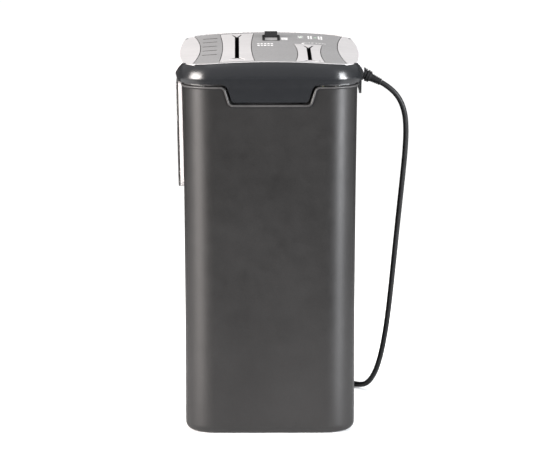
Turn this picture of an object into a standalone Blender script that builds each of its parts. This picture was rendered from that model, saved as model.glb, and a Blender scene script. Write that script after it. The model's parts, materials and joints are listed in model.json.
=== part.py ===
"""A cross-cut paper shredder: a cutting head that lifts off a tall waste basket.

The frame is +Z up, with the origin on the floor under the middle of the basket. The slots and the
cutter shafts run along Y, the window is in the -X side and the mains lead leaves the +X side.
Lengths below are in millimetres; mesh points are turned into metres as each object is made.
"""

import math

import bmesh
import bpy
from mathutils import Vector

MM = 0.001
GAP = 0.3  # between pieces that touch

# The head: its outline is a rounded rectangle with bowed sides, drawn in towards the top
HEAD_HALF_X = 103.7
HEAD_HALF_Y = 165.0
HEAD_CORNER = 38.0
HEAD_BOW_X = 8.0
HEAD_BOW_Y = 2.0
HEAD_LOW = 409.0
HEAD_TOP = 434.5
CROWN = 5.2e-4  # fall of the top, per mm squared from its middle line
# (inset from the widest outline, height) up the side of the head
HEAD_SIDE = [
    (3.0, 380.0), (2.6, 400.0), (1.0, 409.0), (0.0, 415.5), (0.9, 421.5), (3.0, 428.5), (6.2, 434.5),
]
TOP_RINGS = (0.82, 0.5, 0.16)  # shrunken copies of the top outline that carry the crown
SKIN = 2.4
APRON = 2.2  # thickness of the tongues that hang below the head
RIM_CLEAR_X = 104.4  # inside of the rear tongue, clear of the basket's rim

# The deck between the two side cheeks narrows in the middle
DECK_END_X = 91.0
DECK_WAIST_X = 81.5
DECK_HALF_Y = 157.0
DECK_INSET = 8.0
CHEEK_LOW = 400.0
CHEEK_TIP = 427.6
CHEEK_SWEEP_Y = 122.0
CHEEK_HALF_Y = 152.0

# Tongues: half width where they leave the head, half width at the tip, height of the tip
END_TONGUE = (50.5, 43.6, 388.0)
END_NOTCH = (52.2, 45.4, 385.4)
REAR_TONGUE = (44.0, 38.0, 383.0)

# The basket
BASKET_HEIGHT = 406.4
BASKET_HALF_X = 98.2
BASKET_HALF_Y = 160.4
BASKET_CORNER = 36.0
BASKET_FLARE = 2.9
FLARE_POWER = 2.2
BASKET_WALL = 2.6
RIM_BEAD = 0.9

# The window in the basket's front wall
WINDOW_LOW = 273.0
WINDOW_HIGH = 397.5
WINDOW_HALF_Y = 50.0
WINDOW_CORNER = 14.0
WINDOW_FRAME = 7.0
WINDOW_TILT = 1.25  # degrees
BEZEL_BACK_X = -101.2
BEZEL_DEPTH = 4.4
PANE_THICK = 2.4

# Openings in the deck
PAPER_X = -38.0
PAPER_HALF_Y = 145.0
PAPER_END_X = 20.0
PAPER_WAIST_X = 16.5
PAPER_SLOT = 5.0
PAPER_SLOT_HALF_Y = 111.0
DISC_X = 46.5
DISC_Y = -57.5
DISC_HALF_Y = 89.5
DISC_END_X = 16.5
DISC_WAIST_X = 13.0
DISC_SLOT = 4.8
DISC_SLOT_Y = (-128.0, -3.0)
CHUTE_LOW = 400.0
CHUTE_WALL = 1.6

# The slide switch
SWITCH_X = 3.0
SWITCH_WELL_Y = (66.0, 126.0)
SWITCH_WELL_HALF_X = 8.7
SWITCH_RIM = 1.6
SLIDER_Y = (75.0, 117.0)
SLIDER_HALF_X = 7.7
GRIP_Y = (103.0, 117.0)
GRIP_HEIGHT = 6.0

# The tray under the head, which hangs into the basket
TRAY_HALF_X = 88.0
TRAY_HALF_Y = 147.0
TRAY_CORNER = 18.0
TRAY_LOW = 345.0
TRAY_WALL = 2.2
FLANGE_Z = (406.7, 408.7)
FLANGE_HALF = (100.4, 159.0)
SCREW_PLACES = [(x, y) for x in (-78.0, 78.0) for y in (-150.0, 150.0)]

# The cutting mechanism
SHAFT_Z = 380.0
FRONT_SHAFT_X = PAPER_X - 15.0
REAR_SHAFT_X = PAPER_X + 15.0
BLADE_R = 17.5
CORE_R = 11.5
BLADE_PITCH = 10.0
BLADE_THICK = 4.7
BLADES = 22
FINGER_HALF = 1.7  # half width of a stripper's finger, in the gap between two blades
JOURNAL_R = 7.0
FAR_PLATE_Y = (113.6, 116.6)
NEAR_PLATE_Y = (-132.6, -129.6)
DISC_SHAFT_Z = 384.0
DISC_SHAFT_X = (DISC_X - 11.0, DISC_X + 11.0)
DISC_BLADE_R = 12.5
DISC_CORE_R = 8.4
DISC_PLATE_Y = (0.5, 3.0)
MOTOR_X = 52.0
MOTOR_Z = 378.0
MOTOR_R = 27.0
MOTOR_Y = (26.0, 113.2)

# Gears: number of teeth and module
SYNC_GEAR = (15, 2.0)
DISC_IDLER_GEAR = (17, 2.0)
DISC_GEAR = (11, 2.0)
DRIVE_GEAR = (36, 1.6)
SECOND_PINION = (12, 1.6)
SECOND_WHEEL = (40, 1.1)
FIRST_PINION = (12, 1.1)
FIRST_WHEEL = (36, 1.0)
MOTOR_PINION = (12, 1.0)
GEAR_BORE = 3.35  # of the gears that turn on pins
SYNC_Y = (-142.0, -134.5)
STAGE_Y = [(119.0, 124.5), (125.5, 131.0), (132.0, 139.0)]

# The mains lead
CORD_R = 3.25
GLAND_ROOT = (109.6, 0.0, 403.0)
GLAND_TILT = 26.0  # degrees below level
COIL_CENTRE = (40.0, 217.0)
COIL_R = (29.5, 43.0)
COIL_HIGH = 19.6
CORD_ROUTE = [
    (132.5, 0.0, 391.8), (137.5, 0.0, 388.8), (144.0, 0.2, 383.9), (150.2, 0.6, 377.7),
    (155.4, 1.4, 369.8), (159.4, 2.8, 359.6), (161.8, 5.0, 347.0), (162.6, 8.4, 331.0),
    (162.0, 13.2, 311.0), (160.2, 19.6, 286.0), (157.6, 27.6, 256.0), (154.6, 36.6, 222.0),
    (151.4, 46.2, 185.0), (148.2, 56.0, 147.0), (144.8, 66.0, 110.0), (140.8, 76.4, 76.0),
    (135.6, 87.8, 46.0), (128.6, 101.0, 22.0), (119.6, 115.6, 7.6), (109.2, 130.8, 3.4),
    (99.0, 145.6, 3.4), (88.8, 158.6, 3.4), (79.0, 167.8, 3.4), (70.6, 173.0, 3.4),
    (63.0, 175.6, 3.4),
]
PLUG_LEAD = [(18.5, 175.2, 9.0), (9.0, 175.6, 8.0), (0.0, 176.0, 7.4), (-7.4, 176.0, 7.4)]
PLUG_Y = 176.0
PLUG_FACE_X = -42.0


# ---------------------------------------------------------------- outlines

def arc(cx, cy, radius, start, end, count):
    """Points on an arc, angles in degrees, both ends included."""
    steps = [math.radians(start + (end - start) * i / count) for i in range(count + 1)]
    return [(cx + radius * math.cos(a), cy + radius * math.sin(a)) for a in steps]


def circle(cx, cy, radius, count, turn=0.0):
    steps = [2 * math.pi * i / count + turn for i in range(count)]
    return [(cx + radius * math.cos(a), cy + radius * math.sin(a)) for a in steps]


def rounded(half_x, half_y, corner, per_corner=4, per_long=6, per_end=4, centre=(0.0, 0.0)):
    """A rounded rectangle, anticlockwise, with spare points along its straight sides."""
    flat_x, flat_y = half_x - corner, half_y - corner
    points = []
    for sx, sy, start in ((1, 1, 0), (-1, 1, 90), (-1, -1, 180), (1, -1, 270)):
        points += arc(sx * flat_x, sy * flat_y, corner, start, start + 90, per_corner)
        if start in (0, 180):
            points += [(sx * flat_x * (1 - 2 * i / per_end), sy * half_y) for i in range(1, per_end)]
        else:
            points += [(sx * half_x, sy * flat_y * (1 - 2 * i / per_long)) for i in range(1, per_long)]
    return [(x + centre[0], y + centre[1]) for x, y in points]


def head_outline(inset):
    """The head's outline, drawn in all round: long sides and ends are bowed outwards."""
    half_x, half_y = HEAD_HALF_X - inset, HEAD_HALF_Y - inset
    points = rounded(half_x, half_y, HEAD_CORNER - inset)
    bowed = []
    for x, y in points:
        bow_x = HEAD_BOW_X * (x / half_x) * (1 - (y / half_y) ** 2)
        bow_y = HEAD_BOW_Y * (y / half_y) * (1 - (x / half_x) ** 2)
        bowed.append((x + bow_x, y + bow_y))
    return bowed


def head_point(x, y, height):
    """Raise a point of the head: the crown grows from nothing at the lower edge to full at the top."""
    share = max(0.0, (height - HEAD_LOW) / (HEAD_TOP - HEAD_LOW))
    return (x, y, height - CROWN * x * x * share)


def head_loops(depth, below=0.0):
    """Loops of the head's outer form, moved inwards by depth; the first loop can be moved down."""
    loops = []
    for index, (inset, height) in enumerate(HEAD_SIDE):
        high = min(height, HEAD_TOP - depth) if index else height - below
        loops.append([head_point(x, y, high) for x, y in head_outline(inset + depth)])
    last = head_outline(HEAD_SIDE[-1][0] + depth)
    for ring in TOP_RINGS:
        loops.append([head_point(x * ring, y * (0.8 + 0.2 * ring), HEAD_TOP - depth) for x, y in last])
    return loops


def waisted(centre, half_y, end_x, waist_x, grow=0.0, count=8):
    """A panel whose long sides curve in to a waist."""
    cx, cy = centre
    high = half_y + grow
    points = []
    for side in (1, -1):
        for i in range(count + 1):
            t = side * (-1 + 2 * i / count)
            points.append((cx + side * (waist_x + (end_x - waist_x) * t * t + grow), cy + t * high))
    return points


def deck_outline(grow=0.0):
    """The deck's waisted sides, and its ends following the head's top edge."""
    edge = head_outline(DECK_INSET - grow)
    points = []
    for x, y in edge:
        side = DECK_WAIST_X + (DECK_END_X - DECK_WAIST_X) * (y / DECK_HALF_Y) ** 2 + grow
        points.append((max(-side, min(side, x)), y))
    return points


def trapezoid(tongue, top, grow=0.0):
    """A tongue's outline, from a little above where it leaves the head to its rounded tip."""
    wide, narrow, low = tongue
    round_r = 5.0
    right = [(wide + grow, top)] + arc(narrow + grow - round_r, low + round_r, round_r, 0, -90, 3)
    return right + [(-x, z) for x, z in reversed(right)]


def gear_outline(gear, centre, phase):
    """A gear's teeth as trapezoids; one tooth is centred on the angle phase."""
    teeth, module = gear
    pitch_r = teeth * module / 2
    tip, root = pitch_r + 0.85 * module, pitch_r - 1.15 * module
    points = []
    for i in range(teeth):
        middle = phase + 2 * math.pi * i / teeth
        for radius, share in ((root, -0.30), (tip, -0.115), (tip, 0.115), (root, 0.30)):
            a = middle + share * 2 * math.pi / teeth
            points.append((centre[0] + radius * math.cos(a), centre[1] + radius * math.sin(a)))
    return points


def meshed(gear, centre, phase, other, other_centre):
    """The phase that puts other's teeth in this gear's gaps."""
    line = math.atan2(other_centre[1] - centre[1], other_centre[0] - centre[0])
    step = (line - phase) * gear[0] / (2 * math.pi)
    return line + math.pi + (step - 0.5) * 2 * math.pi / other[0]


def reach(a, b, from_a, from_b, side):
    """The point at given distances from a and b, on one side of the line between them."""
    (ax, az), (bx, bz) = a, b
    span = math.hypot(bx - ax, bz - az)
    along = (from_a**2 - from_b**2 + span**2) / (2 * span)
    off = side * math.sqrt(from_a**2 - along**2)
    ux, uz = (bx - ax) / span, (bz - az) / span
    return (ax + along * ux - off * uz, az + along * uz + off * ux)


def spacing(one, two):
    return (one[0] * one[1] + two[0] * two[1]) / 2


# ---------------------------------------------------------------- solids

def place(u, v, along, axis):
    return {"x": (along, u, v), "y": (u, along, v), "z": (u, v, along)}[axis]


def loft(loops, ring=False):
    """Join loops of equal length: closed at both ends, or back round to the first loop."""
    bm = bmesh.new()
    rows = [[bm.verts.new(point) for point in loop] for loop in loops]
    pairs = list(zip(rows, rows[1:]))
    if ring:
        pairs.append((rows[-1], rows[0]))
    for low, high in pairs:
        for i in range(len(low)):
            bm.faces.new((low[i - 1], low[i], high[i], high[i - 1]))
    if not ring:
        bm.faces.new(rows[0])
        bm.faces.new(rows[-1])
    return bm


def prism(outline, low, high, axis="z", holes=()):
    """A flat outline with any holes, given thickness along an axis."""
    bm = bmesh.new()
    edges = []
    for loop in (outline, *holes):
        verts = [bm.verts.new(place(u, v, low, axis)) for u, v in loop]
        edges += [bm.edges.new((verts[i - 1], verts[i])) for i in range(len(verts))]
    if holes:
        bmesh.ops.triangle_fill(bm, use_beauty=True, edges=edges)
    else:
        bm.faces.new(verts)
    grown = bmesh.ops.extrude_face_region(bm, geom=bm.faces[:])
    moved = [item for item in grown["geom"] if isinstance(item, bmesh.types.BMVert)]
    bmesh.ops.translate(bm, verts=moved, vec=Vector(place(0, 0, high - low, axis)))
    return bm


def block(x, y, z):
    return prism([(x[0], y[0]), (x[1], y[0]), (x[1], y[1]), (x[0], y[1])], z[0], z[1])


def turned(profile, centre, axis="y", segments=16):
    """A solid of revolution from (position along the axis, radius) pairs."""
    return loft([[place(u, v, along, axis) for u, v in circle(*centre, radius, segments)]
                 for along, radius in profile])


def tube_ring(outer, inner, low, high, centre, axis, segments=20):
    """A plain ring, such as a bush."""
    loops = [(low, outer), (high, outer), (high, inner), (low, inner)]
    return loft([[place(u, v, along, axis) for u, v in circle(*centre, radius, segments)]
                 for along, radius in loops], ring=True)


# ---------------------------------------------------------------- objects

def start_clean():
    for thing in list(bpy.data.objects):
        bpy.data.objects.remove(thing)


def body_empty(name, pivot=(0.0, 0.0, 0.0), parent=None):
    """An empty that carries one moving body, standing on its joint's axis."""
    empty = bpy.data.objects.new(name, None)
    bpy.context.collection.objects.link(empty)
    empty.location = Vector(pivot) * MM
    if parent:
        empty.parent = parent
    return empty


def material(name, colour, roughness, metallic=0.0, alpha=1.0):
    made = bpy.data.materials.new(name)
    made.use_nodes = True
    shader = made.node_tree.nodes["Principled BSDF"]
    shader.inputs["Base Color"].default_value = (*colour, 1.0)
    shader.inputs["Roughness"].default_value = roughness
    shader.inputs["Metallic"].default_value = metallic
    shader.inputs["Alpha"].default_value = alpha
    return made


def make(name, bm, finish, parent, smooth=True):
    """Turn a bmesh in millimetres into an object standing on its parent's origin."""
    bmesh.ops.recalc_face_normals(bm, faces=bm.faces)
    origin = parent.location if parent else Vector()
    for vert in bm.verts:
        vert.co = vert.co * MM - origin
    mesh = bpy.data.meshes.new(name)
    bm.to_mesh(mesh)
    bm.free()
    if smooth:
        mesh.shade_smooth()
        mesh.set_sharp_from_angle(angle=math.radians(35))
    if finish:
        mesh.materials.append(finish)
    made = bpy.data.objects.new(name, mesh)
    bpy.context.collection.objects.link(made)
    made.parent = parent
    return made


def tool(name, bm):
    """A shape that only cuts or bounds others."""
    made = make(name, bm, None, None, smooth=False)
    made.hide_render = True
    made.display_type = "WIRE"
    return made


def combine(target, operation, *tools):
    for each in tools:
        step = target.modifiers.new(f"{operation.title()} {each.name}", "BOOLEAN")
        step.operation = operation
        step.solver = "EXACT"
        step.object = each
    return target


# ---------------------------------------------------------------- the basket

def basket_loop(inset, z):
    flare = BASKET_FLARE * (z / BASKET_HEIGHT) ** FLARE_POWER
    half_x, half_y = BASKET_HALF_X + flare - inset, BASKET_HALF_Y + flare - inset
    return [(x, y, z) for x, y in rounded(half_x, half_y, BASKET_CORNER - inset)]


def waste_basket(finish, body):
    """The basket: a foot and wall outside, a beaded rim, and the wall and floor inside."""
    levels = [180.0, 300.0, 396.5]
    outside = [(11.0, 0.0), (4.8, 0.9), (1.5, 4.0), (0.0, 9.5)] + [(0.0, z) for z in levels]
    outside += [(-RIM_BEAD, 398.0), (-RIM_BEAD, 404.9), (0.3, BASKET_HEIGHT)]
    inside = [(BASKET_WALL, z) for z in (BASKET_HEIGHT, *reversed(levels), 12.0)] + [(6.0, 5.5), (13.0, 3.0)]
    shell = loft([basket_loop(inset, z) for inset, z in outside + inside])
    made = make("waste_basket", shell, finish, body)
    notch = tool("basket_notch_tool", prism(trapezoid(END_NOTCH, 415.0), -180.0, 180.0, "y"))
    middle = (WINDOW_LOW + WINDOW_HIGH) / 2
    hole_half_z = middle - WINDOW_LOW - WINDOW_FRAME
    window = tool("basket_window_tool", prism(
        rounded(WINDOW_HALF_Y - WINDOW_FRAME, hole_half_z, WINDOW_CORNER - 4.0, 3, 2, 2, (0.0, middle)),
        -115.0, -85.0, "x"))
    post = tool("interlock_post_tool", block((57.0, 63.0), (-161.8, -150.2), (352.0, 398.0)))
    combine(made, "UNION", post)
    return combine(made, "DIFFERENCE", notch, window)


def window_outline(inset):
    """Square upper corners and round lower ones, about the window's middle."""
    half_y = WINDOW_HALF_Y - inset
    half_z = (WINDOW_HIGH - WINDOW_LOW) / 2 - inset
    low_r = WINDOW_CORNER - inset / 2
    left = arc(-half_y + low_r, -half_z + low_r, low_r, 180, 270, 5)
    right = arc(half_y - low_r, -half_z + low_r, low_r, 270, 360, 5)
    return left + right + [(half_y, half_z), (-half_y, half_z)]


def window(name, outline, back, front, holes, finish, body):
    """A piece of the window, drawn upright and then leaned like the wall behind it."""
    made = make(name, prism(outline, -front, -back, "x", holes), finish, None)
    made.parent = body
    made.location = Vector((BEZEL_BACK_X, 0.0, (WINDOW_LOW + WINDOW_HIGH) / 2)) * MM
    made.rotation_euler = (0.0, -math.radians(WINDOW_TILT), 0.0)
    return made


# ---------------------------------------------------------------- the head's shells

def head_solid(name, depth, below=5.0):
    return tool(name, loft(head_loops(depth, below)))


def cheek_low(y, grow=0.0):
    """The height of a cheek's lower edge: lowest in the middle, sweeping up towards both ends."""
    share = min(1.0, abs(y) / CHEEK_SWEEP_Y) ** 2.2
    return CHEEK_LOW + (CHEEK_TIP - CHEEK_LOW) * share - grow


def cheek_region(side, grow=0.0):
    """The space a cheek fills, seen from the side: everything above its swept lower edge."""
    half = CHEEK_HALF_Y + grow
    steps = [half * (-1 + i / 8) for i in range(17)]
    outline = [(y, cheek_low(y, grow)) for y in steps] + [(half, 470.0), (-half, 470.0)]
    low, high = sorted((side * 60.0, side * 130.0))
    return prism(outline, low, high, "x")


def housing_void():
    """The inside of the housing: thin tongues below the head's edge and a thicker wall above it."""
    ledge = HEAD_LOW + 1.2
    loops = []
    for inset, z in ((HEAD_SIDE[0][0], 370.0), (HEAD_SIDE[2][0], ledge)):
        edge = head_outline(inset + APRON)
        loops.append([(max(-RIM_CLEAR_X, min(x, RIM_CLEAR_X)), y, z) for x, y in edge])
    upper = head_loops(2 * SKIN + 0.4)[2:]
    upper[0] = [(x, y, ledge) for x, y, _ in upper[0]]
    return loft(loops + upper)


def head_housing(finish, body, openings):
    made = make("head_housing", loft(head_loops(0.0)), finish, body)
    void = tool("housing_void_tool", housing_void())
    under = head_solid("under_skin_tool", SKIN + GAP, 20.0)
    recesses = [tool("deck_recess_tool", prism(deck_outline(GAP), 395.0, 470.0))]
    recesses += [tool(f"cheek_recess_tool_{side}", cheek_region(side, GAP)) for side in (-1, 1)]
    for recess in recesses:
        combine(recess, "DIFFERENCE", under)
    keep = tool("housing_keep_tool", block((-130.0, 130.0), (-190.0, 190.0), (HEAD_LOW, 470.0)))
    ends = tool("end_tongue_tool", prism(trapezoid(END_TONGUE, 420.0), -190.0, 190.0, "y"))
    rear = tool("rear_tongue_tool", prism(trapezoid(REAR_TONGUE, 420.0), 60.0, 130.0, "x"))
    combine(keep, "UNION", ends, rear)
    combine(made, "DIFFERENCE", void, *recesses)
    combine(made, "INTERSECT", keep)
    return combine(made, "DIFFERENCE", *openings)


def skin_panel(name, regions, finish, body, gaps):
    """A panel of the head's outer skin, bounded by one or more regions."""
    made = make(name, loft(head_loops(0.0)), finish, body)
    combine(made, "DIFFERENCE", bpy.data.objects["skin_tool"])
    combine(made, "INTERSECT", *regions)
    return combine(made, "DIFFERENCE", *gaps)


def throat(name, panel, centre_x, slot_y, slot, finish, body):
    """A throat: its panel in the deck, a chute down to the cutters, and the slot through both."""
    made = make(name, loft(head_loops(0.0)), finish, body)
    combine(made, "DIFFERENCE", bpy.data.objects["skin_tool"])
    combine(made, "INTERSECT", tool(f"{name}_panel_tool", prism(panel, 395.0, 470.0)))
    middle, half = (slot_y[0] + slot_y[1]) / 2, (slot_y[1] - slot_y[0]) / 2

    def level(half_x, half_y, z):
        corners = ((-1, -1), (1, -1), (1, 1), (-1, 1))
        return [(centre_x + sx * half_x, middle + sy * half_y, z) for sx, sy in corners]

    narrow, wall = slot / 2, CHUTE_WALL
    chute = loft([level(narrow + wall, half + wall, CHUTE_LOW), level(narrow + wall, half + wall, 428.0),
                  level(narrow + wall + 2.0, half + 14.0, HEAD_TOP - SKIN + 0.4)])
    funnel = loft([level(narrow, half, CHUTE_LOW - 3.0), level(narrow, half, 430.0),
                   level(narrow + 0.6, half + 16.0, HEAD_TOP + 2.0)])
    combine(made, "UNION", tool(f"{name}_chute_tool", chute))
    return combine(made, "DIFFERENCE", tool(f"{name}_slot_tool", funnel))


def lower_tray(finish, body):
    """The tray that carries the cutters, open under them, with the flange that sits on the rim."""
    def walls(inset, z):
        half_x, half_y = TRAY_HALF_X - inset, TRAY_HALF_Y - inset
        return [(x, y, z) for x, y in rounded(half_x, half_y, TRAY_CORNER - inset)]

    flange = rounded(*FLANGE_HALF, 32.0)
    loops = [walls(4.0, TRAY_LOW), walls(0.0, TRAY_LOW + 4.0), walls(0.0, FLANGE_Z[0])]
    loops += [[(x, y, z) for x, y in flange] for z in FLANGE_Z]
    loops += [walls(TRAY_WALL, FLANGE_Z[1]), walls(TRAY_WALL, TRAY_LOW + 6.0)]
    loops.append(walls(4.0 + TRAY_WALL, TRAY_LOW + TRAY_WALL))
    made = make("lower_tray", loft(loops), finish, body)
    outlets = [block((-72.0, -4.0), (-126.0, 112.0), (340.0, 352.0)),
               block((31.0, 62.0), (-126.0, -4.0), (340.0, 352.0)),
               prism(circle(60.0, -153.2, 2.4, 12), 400.0, 412.0)]
    outlets += [prism(circle(x, y, 1.95, 10), 400.0, 412.0) for x, y in SCREW_PLACES]
    tools = [tool(f"tray_hole_tool_{i}", each) for i, each in enumerate(outlets)]
    return combine(made, "DIFFERENCE", *tools)


# ---------------------------------------------------------------- the mechanism

def blade_starts(rear):
    first = -BLADES * BLADE_PITCH / 2 + (BLADE_PITCH / 2 if rear else 0.0)
    return [first + i * BLADE_PITCH for i in range(BLADES)]


def cutter_profile(starts, blade_r, core_r, journal_r, core, journal, ends, end_r):
    """A cutter shaft: a core with raised blades, journals in its plates, and thinner ends."""
    profile = [(ends[0], end_r), (journal[0], end_r), (journal[0], journal_r), (core[0], journal_r),
               (core[0], core_r)]
    for start in starts:
        end = start + BLADE_THICK
        profile += [(start, core_r), (start, blade_r), (end, blade_r), (end, core_r)]
    profile += [(core[1], core_r), (core[1], journal_r), (journal[1], journal_r)]
    if ends[1] > journal[1]:
        profile += [(journal[1], end_r), (ends[1], end_r)]
    return profile


def comb(name, starts, side, finish, body):
    """A stripper: a bar beside the cutter with a finger in each gap between its blades."""
    shaft_x = FRONT_SHAFT_X if side < 0 else REAR_SHAFT_X
    bar_near, bar_far = shaft_x + side * 18.5, shaft_x + side * 26.0
    tip = shaft_x + side * (CORE_R + 0.9)
    points = [(bar_far, 113.2), (bar_far, NEAR_PLATE_Y[1] + GAP), (bar_near, NEAR_PLATE_Y[1] + GAP)]
    for start in starts[:-1]:
        middle = start + (BLADE_THICK + BLADE_PITCH) / 2
        points += [(bar_near, middle - FINGER_HALF), (tip, middle - FINGER_HALF)]
        points += [(tip, middle + FINGER_HALF), (bar_near, middle + FINGER_HALF)]
    points.append((bar_near, 113.2))
    return make(name, prism(points, SHAFT_Z - 4.0, SHAFT_Z + 4.0), finish, body, smooth=False)


def gear(name, spec, centre, phase, low, high, bore, finish, body):
    wheel = prism(gear_outline(spec, centre, phase), low, high, "y", [circle(*centre, bore, 12)])
    return make(name, wheel, finish, body, smooth=False)


def double_gear(name, wheel, wheel_y, wheel_phase, pinion, pinion_y, pinion_phase, centre, finish, body):
    """A wheel and a smaller pinion in one piece on one pin."""
    made = gear(name, wheel, centre, wheel_phase, *wheel_y, GEAR_BORE, finish, body)
    outline = gear_outline(pinion, centre, pinion_phase)
    small = prism(outline, wheel_y[1] - 1.5, pinion_y[1], "y", [circle(*centre, GEAR_BORE, 12)])
    joined = tool(f"{name}_pinion_tool", small)
    return combine(made, "UNION", joined)


def motor_can(finish, body):
    """The motor's drawn can: open towards the bearing plate, with a small hole for the shaft behind."""
    near, far = MOTOR_Y
    wall = [(near, 4.6), (near, MOTOR_R), (far, MOTOR_R), (far, 21.5), (near + 3.0, 21.5), (near + 3.0, 4.6)]
    loops = [[place(u, v, y, "y") for u, v in circle(MOTOR_X, MOTOR_Z, r, 20)] for y, r in wall]
    return make("motor_can", loft(loops, ring=True), finish, body)


def motor_rotor(finish, body):
    near, far = MOTOR_Y
    profile = [(near - 12.0, 3.0), (near + 9.0, 3.0), (near + 9.0, 8.0), (near + 16.0, 8.0)]
    profile += [(near + 16.0, 19.5), (far - 12.0, 19.5), (far - 12.0, 3.0), (STAGE_Y[0][1], 3.0)]
    return make("motor_rotor", turned(profile, (MOTOR_X, MOTOR_Z), "y", 16), finish, body)


def cable_gland(finish, body):
    """The ribbed strain relief with its tapered boot, leaned down the way the lead leaves."""
    profile = [(-5.0, 5.4), (-2.8, 5.4), (-2.8, 4.3), (0.0, 4.3), (0.0, 7.4), (4.6, 7.3), (4.6, 5.7)]
    profile += [(6.4, 5.7), (6.4, 7.1), (11.2, 6.7), (11.2, 5.0), (25.0, 3.9)]
    made = make("strain_relief", turned(profile, (0.0, 0.0), "x", 16), finish, None)
    made.parent = body
    made.location = Vector(GLAND_ROOT) * MM
    made.rotation_euler = (0.0, math.radians(GLAND_TILT), 0.0)
    return made


def gland_hole():
    profile = [(-12.0, 6.1), (-GAP, 6.1), (-GAP, 8.0), (40.0, 8.0)]
    made = tool("gland_hole_tool", turned(profile, (0.0, 0.0), "x", 16))
    made.location = Vector(GLAND_ROOT) * MM
    made.rotation_euler = (0.0, math.radians(GLAND_TILT), 0.0)
    return made


# ---------------------------------------------------------------- the mains lead

def smooth_route(route, spacing_mm):
    """Evenly spread points on a smooth curve through the route's own points."""
    points = [Vector(p) for p in route]
    points = [2 * points[0] - points[1], *points, 2 * points[-1] - points[-2]]
    fine = []
    for a, b, c, d in zip(points, points[1:], points[2:], points[3:]):
        for i in range(12):
            t = i / 12
            fine.append(0.5 * (2 * b + (c - a) * t + (2 * a - 5 * b + 4 * c - d) * t**2
                               + (3 * b - a - 3 * c + d) * t**3))
    fine.append(points[-2])
    total = sum((b - a).length for a, b in zip(fine, fine[1:]))
    count = max(3, round(total / spacing_mm))
    spread, run, target = [fine[0]], 0.0, total / count
    for a, b in zip(fine, fine[1:]):
        step = (b - a).length
        while run + step >= target * len(spread) and len(spread) < count:
            spread.append(a.lerp(b, (target * len(spread) - run) / step))
        run += step
    return [*spread, fine[-1]]


def lead(name, route, finish, body):
    """A round lead along a route."""
    curve = bpy.data.curves.new(name, "CURVE")
    curve.dimensions = "3D"
    curve.bevel_depth = CORD_R * MM
    curve.bevel_resolution = 2
    curve.use_fill_caps = True
    curve.render_resolution_u = 0
    points = smooth_route(route, 5.0 * CORD_R)
    spline = curve.splines.new("POLY")
    spline.points.add(len(points) - 1)
    for point, co in zip(spline.points, points):
        point.co = (*(co * MM), 1.0)
    curve.materials.append(finish)
    made = bpy.data.objects.new(name, curve)
    bpy.context.collection.objects.link(made)
    made.parent = body
    return made


def plug(rubber, metal, body):
    """A flat two-blade plug lying on its side."""
    side = [(-7.7, 5.2), (-14.0, 6.4), (-23.0, 11.0), (PLUG_FACE_X + 2.0, 12.0), (PLUG_FACE_X, 11.0)]
    outline = [(x, PLUG_Y - half) for x, half in side] + [(x, PLUG_Y + half) for x, half in reversed(side)]
    make("plug_body", prism(outline, 0.3, 14.6), rubber, body)
    for index, offset in enumerate((-6.35, 6.35), start=1):
        blade = block((PLUG_FACE_X - 16.5, PLUG_FACE_X - GAP),
                      (PLUG_Y + offset - 0.8, PLUG_Y + offset + 0.8), (4.3, 10.6))
        make(f"plug_blade_{index}", blade, metal, body, smooth=False)


# ---------------------------------------------------------------- assembly

def finishes():
    return {
        "basket": material("basket_plastic", (0.05, 0.049, 0.052), 0.38, 0.25),
        "black": material("gloss_black", (0.012, 0.012, 0.014), 0.12),
        "silver": material("silver_deck", (0.47, 0.46, 0.46), 0.42, 0.1),
        "pearl": material("pearl_panel", (0.84, 0.82, 0.82), 0.3),
        "smoke": material("smoked_window", (0.03, 0.03, 0.032), 0.08, 0.0, 0.6),
        "tray": material("tray_plastic", (0.02, 0.02, 0.021), 0.55),
        "steel": material("cutter_steel", (0.52, 0.52, 0.53), 0.32, 1.0),
        "zinc": material("zinc_plate", (0.6, 0.6, 0.58), 0.4, 1.0),
        "nylon": material("gear_nylon", (0.72, 0.7, 0.62), 0.45),
        "brass": material("bush_bronze", (0.55, 0.38, 0.18), 0.35, 1.0),
        "copper": material("rotor_iron", (0.4, 0.22, 0.12), 0.4, 0.8),
        "board": material("board_green", (0.03, 0.14, 0.06), 0.5),
        "grip": material("grip_rubber", (0.015, 0.015, 0.015), 0.5),
        "lens": material("lens_green", (0.2, 0.6, 0.25), 0.15),
        "cord": material("cord_pvc", (0.015, 0.015, 0.016), 0.4),
    }


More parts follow.
